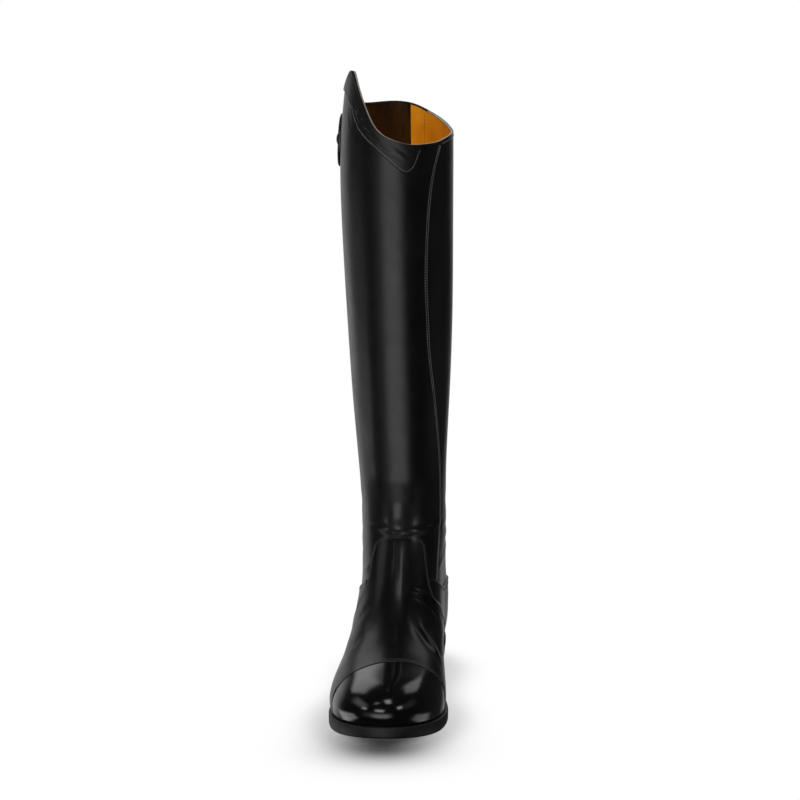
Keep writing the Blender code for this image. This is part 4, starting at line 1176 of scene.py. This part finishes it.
def sew():
    def on(raise_by):
        """Outside of a panel that stands out this far from the wall."""
        return lambda a, v: raise_by - wall_depth(v)

    def flat(offset):
        return lambda a, v: offset + 0 * v

    def below_rim(first, last, count):
        angles = np.linspace(first, last, count)
        return np.stack([angles, rim_level(angles) - 3.2], -1)

    def shorten(line, under):
        return line[line[:, 1] < rim_level(line[:, 0]) - under]

    def upright(angle_at, low, high, count):
        level = np.linspace(low, high, count)
        return np.stack([angle_at(level), level], -1)

    vamp = edge_curve(VAMP_EDGE, 240)
    vamp = vamp[vamp[:, 1] > 18]
    for shift in (1.5, 3.1):
        stitch_row("vamp", beside(vamp, shift), on(1.48), 2.1)
    cap = edge_curve(CAP_EDGE, 200)
    cap = cap[cap[:, 1] > 14]
    stitch_row("cap", beside(cap, -1.4), on(1.48), 1.9, 0.22)
    cap = cap[cap[:, 0] < 6]
    for shift in (-2.9, -4.4):
        stitch_row("cap", beside(cap, shift), on(1.48), 1.9, 0.22)
    counter = edge_curve(COUNTER_TOP, 300)
    counter = counter[(counter[:, 0] > 60) & (counter[:, 0] < 300)]
    for shift in (1.6, 3.2):
        stitch_row("counter", beside(counter, shift), on(1.02), 2.2)
    seam = shorten(upright(SEAM_AT, 98, 505, 300), 3)
    for shift in (1.4, 3.4):
        stitch_row("shaft", beside(seam, shift), shaft_top, 2.2)
    stitch_row("band", beside(edge_curve(TOP_PANEL_EDGE, 240), -1.5)[4:-4], flat(1.4), 2.2)
    stitch_row("shaft", below_rim(88, 172, 120), flat(0.38), 2.4)
    stitch_row("shaft", below_rim(190, 305, 160), flat(-0.37), 2.4)
    for from_zip in (3.2, 7.4):
        line = upright(lambda v: ZIP_ANGLES[1] + from_zip + 0 * v, 106, 500, 300)
        stitch_row("shaft", shorten(line, 4), on(-0.36), 2.4)
    stitch_row("shaft", upright(lambda v: ZIP_ANGLES[0] - 3.4 + 0 * v, 106, 203, 80), shaft_top, 2.4)
    edge = shorten(upright(gusset_edge, 200, 500, 260), 4)
    for shift in (-1.6, -3.4):
        stitch_row("shaft", beside(edge, shift), flat(0.4), 2.4)
    middle = (TAB_Z[0] + TAB_Z[1]) / 2
    tip = TAB_ANGLES[0] + TAB_TIP * np.linspace(0.02, 1, 40) ** 2
    angles = np.concatenate([tip, np.linspace(98.4, 195, 90)])
    upper = np.stack([angles, level_at_height(middle + tab_half(angles))], -1)
    lower = np.stack([angles, level_at_height(middle - tab_half(angles))], -1)[::-1]
    border = beside(np.concatenate([lower, upper]), 2.2)
    border = border[border[:, 0] > TAB_ANGLES[0] + 2.5]
    stitch_row("tab", border, lambda a, v: tab_seat(a, v) + 1.95)
    line = upright(lambda v: 206 + 0 * v, 300, float(rim_level(206)) - 5, 60)
    stitch_row("lining", line, flat(-WALL - 0.27), 3.0)
    angles = np.linspace(134, 226, 90)
    stitch_row("counter", np.stack([angles, counter_level(angles) - 13.2], -1), on(1.05), 2.4)


make_shaft()
make_foot()
make_top_panel()
make_collar()
make_lining()
make_gusset()
make_zip()
make_slider()
make_tab()
make_snap()
make_spur_rest()
make_sole()
sew()
make_stitches()


# Floor, surroundings and camera
# Painted shadow on the floor, soft ahead of the toe: its middle, and how far it fades to the side, ahead and
# behind
TOE_SHADOW = (-5.0, -241.0)
TOE_SHADOW_SIDE, TOE_SHADOW_AHEAD, TOE_SHADOW_BEHIND = 43.0, 44.0, 60.0


def distance_to_sole(points):
    """Distance of floor points to the sole's outline, below 0 under the sole."""
    border = outline(np.arange(0, 360, 1.5), SOLE_MARGIN)[:, :2]
    after = np.roll(border, -1, 0)
    distance = np.full(len(points), np.inf)
    inside = np.zeros(len(points), bool)
    for start, end in zip(border, after):
        along = end - start
        share = np.clip((points - start) @ along / (along @ along), 0, 1)
        nearest = start + share[:, None] * along
        distance = np.minimum(distance, np.linalg.norm(points - nearest, axis=1))
        crossed = (points[:, 1] > start[1]) != (points[:, 1] > end[1])
        rise = along[1] if along[1] else 1e-9
        left = points[:, 0] < start[0] + along[0] * (points[:, 1] - start[1]) / rise
        inside ^= crossed & left
    return np.where(inside, -distance, distance)


def painted_floor_shadow(points):
    """Painted shadow: share of the white backdrop that shows through at each floor point, between a wide painted
    shadow at the toe and a narrow one round the sole."""
    x, y = points.T
    reach = np.where(y < TOE_SHADOW[1], TOE_SHADOW_AHEAD, TOE_SHADOW_BEHIND)
    side, ahead = (x - TOE_SHADOW[0]) / TOE_SHADOW_SIDE, (y - TOE_SHADOW[1]) / reach
    wide = np.exp(-(side**2) - ahead**2)
    distance = distance_to_sole(points)
    near = 0.35 * np.exp(-((distance / 18) ** 2))
    under = 0.35 + 0.45 * (1 - np.exp(-((distance / 10) ** 2)))
    return (1 - 0.9 * wide) * (1 - np.where(distance > 0, near, under))


def make_floor():
    across = np.concatenate([(-900, -600, -400), np.arange(-301, 302, 7), (400, 600, 900)])
    along = np.concatenate([(-1300, -900, -650), np.arange(-520, 281, 8), (400, 600, 900)])
    x, y = np.meshgrid(across, along, indexing="ij")
    points = np.stack([x.ravel(), y.ravel()], -1).astype(float)
    shade = painted_floor_shadow(points)
    rows = len(along)
    faces = [
        (i * rows + j, (i + 1) * rows + j, (i + 1) * rows + j + 1, i * rows + j + 1)
        for i in range(len(across) - 1)
        for j in range(rows - 1)
    ]
    mesh = bpy.data.meshes.new("floor")
    mesh.from_pydata([(px * MM, py * MM, 0.0) for px, py in points], [], faces)
    mesh.attributes.new("shade", "FLOAT", "POINT").data.foreach_set("value", shade)
    floor = bpy.data.objects.new("floor", mesh)
    bpy.context.scene.collection.objects.link(floor)
    material, tree, shader = new_material("floor")
    # The floor is see-through and tinted by this painted shadow over the white backdrop; no lamp casts it
    painted_shadow_node = tree.nodes.new("ShaderNodeAttribute")
    painted_shadow_node.attribute_name = "shade"
    clear = tree.nodes.new("ShaderNodeBsdfTransparent")
    tree.links.new(painted_shadow_node.outputs["Fac"], clear.inputs["Color"])
    tree.links.new(clear.outputs[0], tree.nodes["Material Output"].inputs["Surface"])
    tree.nodes.remove(shader)
    mesh.materials.append(material)
    floor.visible_glossy = False


FILL_LIGHT = 0.022
SOFT_BOXES = (
    # azimuth, elevation, half width, half height, softness, power
    (-7, -17, 26, 15, 0.75, 1.4),
    (-44, -12, 18, 14, 0.8, 0.22),
    (-158, -4, 24, 18, 0.6, 0.5),
    (174, -4, 13, 18, 0.6, 0.33),
    (-112, -27, 19, 11, 0.35, 0.95),
    (115, -29, 14, 9, 0.4, 0.55),
    (-146, 38, 15, 12, 0.3, 0.95),
    (137, 41, 10, 10, 0.35, 0.8),
    (20, 66, 8, 11, 0.6, 2.6),
    (-38, 53, 6, 7, 0.6, 0.9),
    (-16, 18, 12, 6, 0.5, 2.6),
    (-66, 19, 7, 5, 0.5, 2.0),
    (60, 23, 8, 6, 0.5, 2.6),
    (-88, 29, 19, 9, 0.6, 0.6),
    (90, 20, 14, 9, 0.7, 0.12),
    (178, 24, 16, 12, 0.7, 0.5),
)


def make_world():
    """Soft studio boxes round the boot. Azimuth 0 is the camera's side, + to its right."""
    world = bpy.data.worlds.new("studio")
    bpy.context.scene.world = world
    world.use_nodes = True
    tree = world.node_tree
    tree.nodes.clear()
    place = tree.nodes.new("ShaderNodeTexCoord")
    total = None

    def math_node(kind, a, b=None):
        made = tree.nodes.new("ShaderNodeMath")
        made.operation = kind
        for i, value in enumerate((a,) if b is None else (a, b)):
            if isinstance(value, (int, float)):
                made.inputs[i].default_value = value
            else:
                tree.links.new(value, made.inputs[i])
        return made.outputs[0]

    def along(direction):
        made = tree.nodes.new("ShaderNodeVectorMath")
        made.operation = "DOT_PRODUCT"
        tree.links.new(place.outputs["Generated"], made.inputs[0])
        made.inputs[1].default_value = direction
        return made.outputs["Value"]

    def fade(value, inside, outside):
        made = set_inputs(tree.nodes.new("ShaderNodeMapRange"), From_Min=outside, From_Max=inside)
        made.interpolation_type = "SMOOTHSTEP"
        tree.links.new(value, made.inputs["Value"])
        return made.outputs["Result"]

    for azimuth, elevation, wide, high, soft, power in SOFT_BOXES:
        a, e = math.radians(azimuth), math.radians(elevation)
        ahead = Vector((math.sin(a) * math.cos(e), -math.cos(a) * math.cos(e), math.sin(e)))
        right = Vector((math.cos(a), math.sin(a), 0))
        up = right.cross(ahead) * -1
        depth = math_node("MAXIMUM", along(ahead), 0.02)
        box = math_node("MULTIPLY", fade(along(ahead), 0.08, 0.02), power)
        for direction, half in ((right, wide), (up, high)):
            aside = math_node("ABSOLUTE", math_node("DIVIDE", along(direction), depth))
            reach = math.tan(math.radians(half))
            box = math_node("MULTIPLY", box, fade(aside, reach * (1 - soft), reach * (1 + soft)))
        total = box if total is None else math_node("ADD", total, box)
    total = math_node("ADD", total, FILL_LIGHT)
    path = tree.nodes.new("ShaderNodeLightPath")
    mix = tree.nodes.new("ShaderNodeMix")
    mix.data_type = "FLOAT"
    tree.links.new(path.outputs["Is Camera Ray"], mix.inputs[0])
    tree.links.new(total, mix.inputs[2])
    mix.inputs[3].default_value = 1.0
    background = set_inputs(tree.nodes.new("ShaderNodeBackground"), Color=(1, 1, 1, 1))
    tree.links.new(mix.outputs[0], background.inputs["Strength"])
    output = tree.nodes.new("ShaderNodeOutputWorld")
    tree.links.new(background.outputs[0], output.inputs["Surface"])


def make_camera():
    azimuth, elevation, distance = 3.5, 11.5, 3.0
    a, e = math.radians(azimuth), math.radians(elevation)
    back = Vector((math.sin(a) * math.cos(e), -math.cos(a) * math.cos(e), math.sin(e)))
    camera = bpy.data.objects.new("camera", bpy.data.cameras.new("camera"))
    bpy.context.scene.collection.objects.link(camera)
    camera.location = Vector((-0.004, -0.02, 0.2325)) + back * distance
    camera.rotation_mode = "QUATERNION"
    camera.rotation_quaternion = (-back).to_track_quat("-Z", "Y")
    camera.data.lens = 163.0
    camera.data.sensor_width = 36.0
    camera.data.clip_start = 0.05
    camera.data.clip_end = 50.0
    bpy.context.scene.camera = camera


def make_light(name, location, target, size, power):
    data = bpy.data.lights.new(name, "AREA")
    data.shape = "RECTANGLE"
    data.size, data.size_y = size
    data.energy = power
    light = bpy.data.objects.new(name, data)
    light.location = location
    aim = Vector(target) - Vector(location)
    light.rotation_mode = "QUATERNION"
    light.rotation_quaternion = aim.to_track_quat("-Z", "Y")
    light.visible_camera = False
    light.visible_glossy = False
    bpy.context.scene.collection.objects.link(light)


make_floor()
make_world()
make_light("back_light", (0, 1.3, 3.4), (0, -0.1, 0), (1.7, 1.7), 150)
make_light("front_light", (-0.2, -1.2, 2.2), (0, -0.1, 0.2), (1.6, 1.6), 22)
make_camera()
bpy.context.scene.view_settings.view_transform = "Standard"
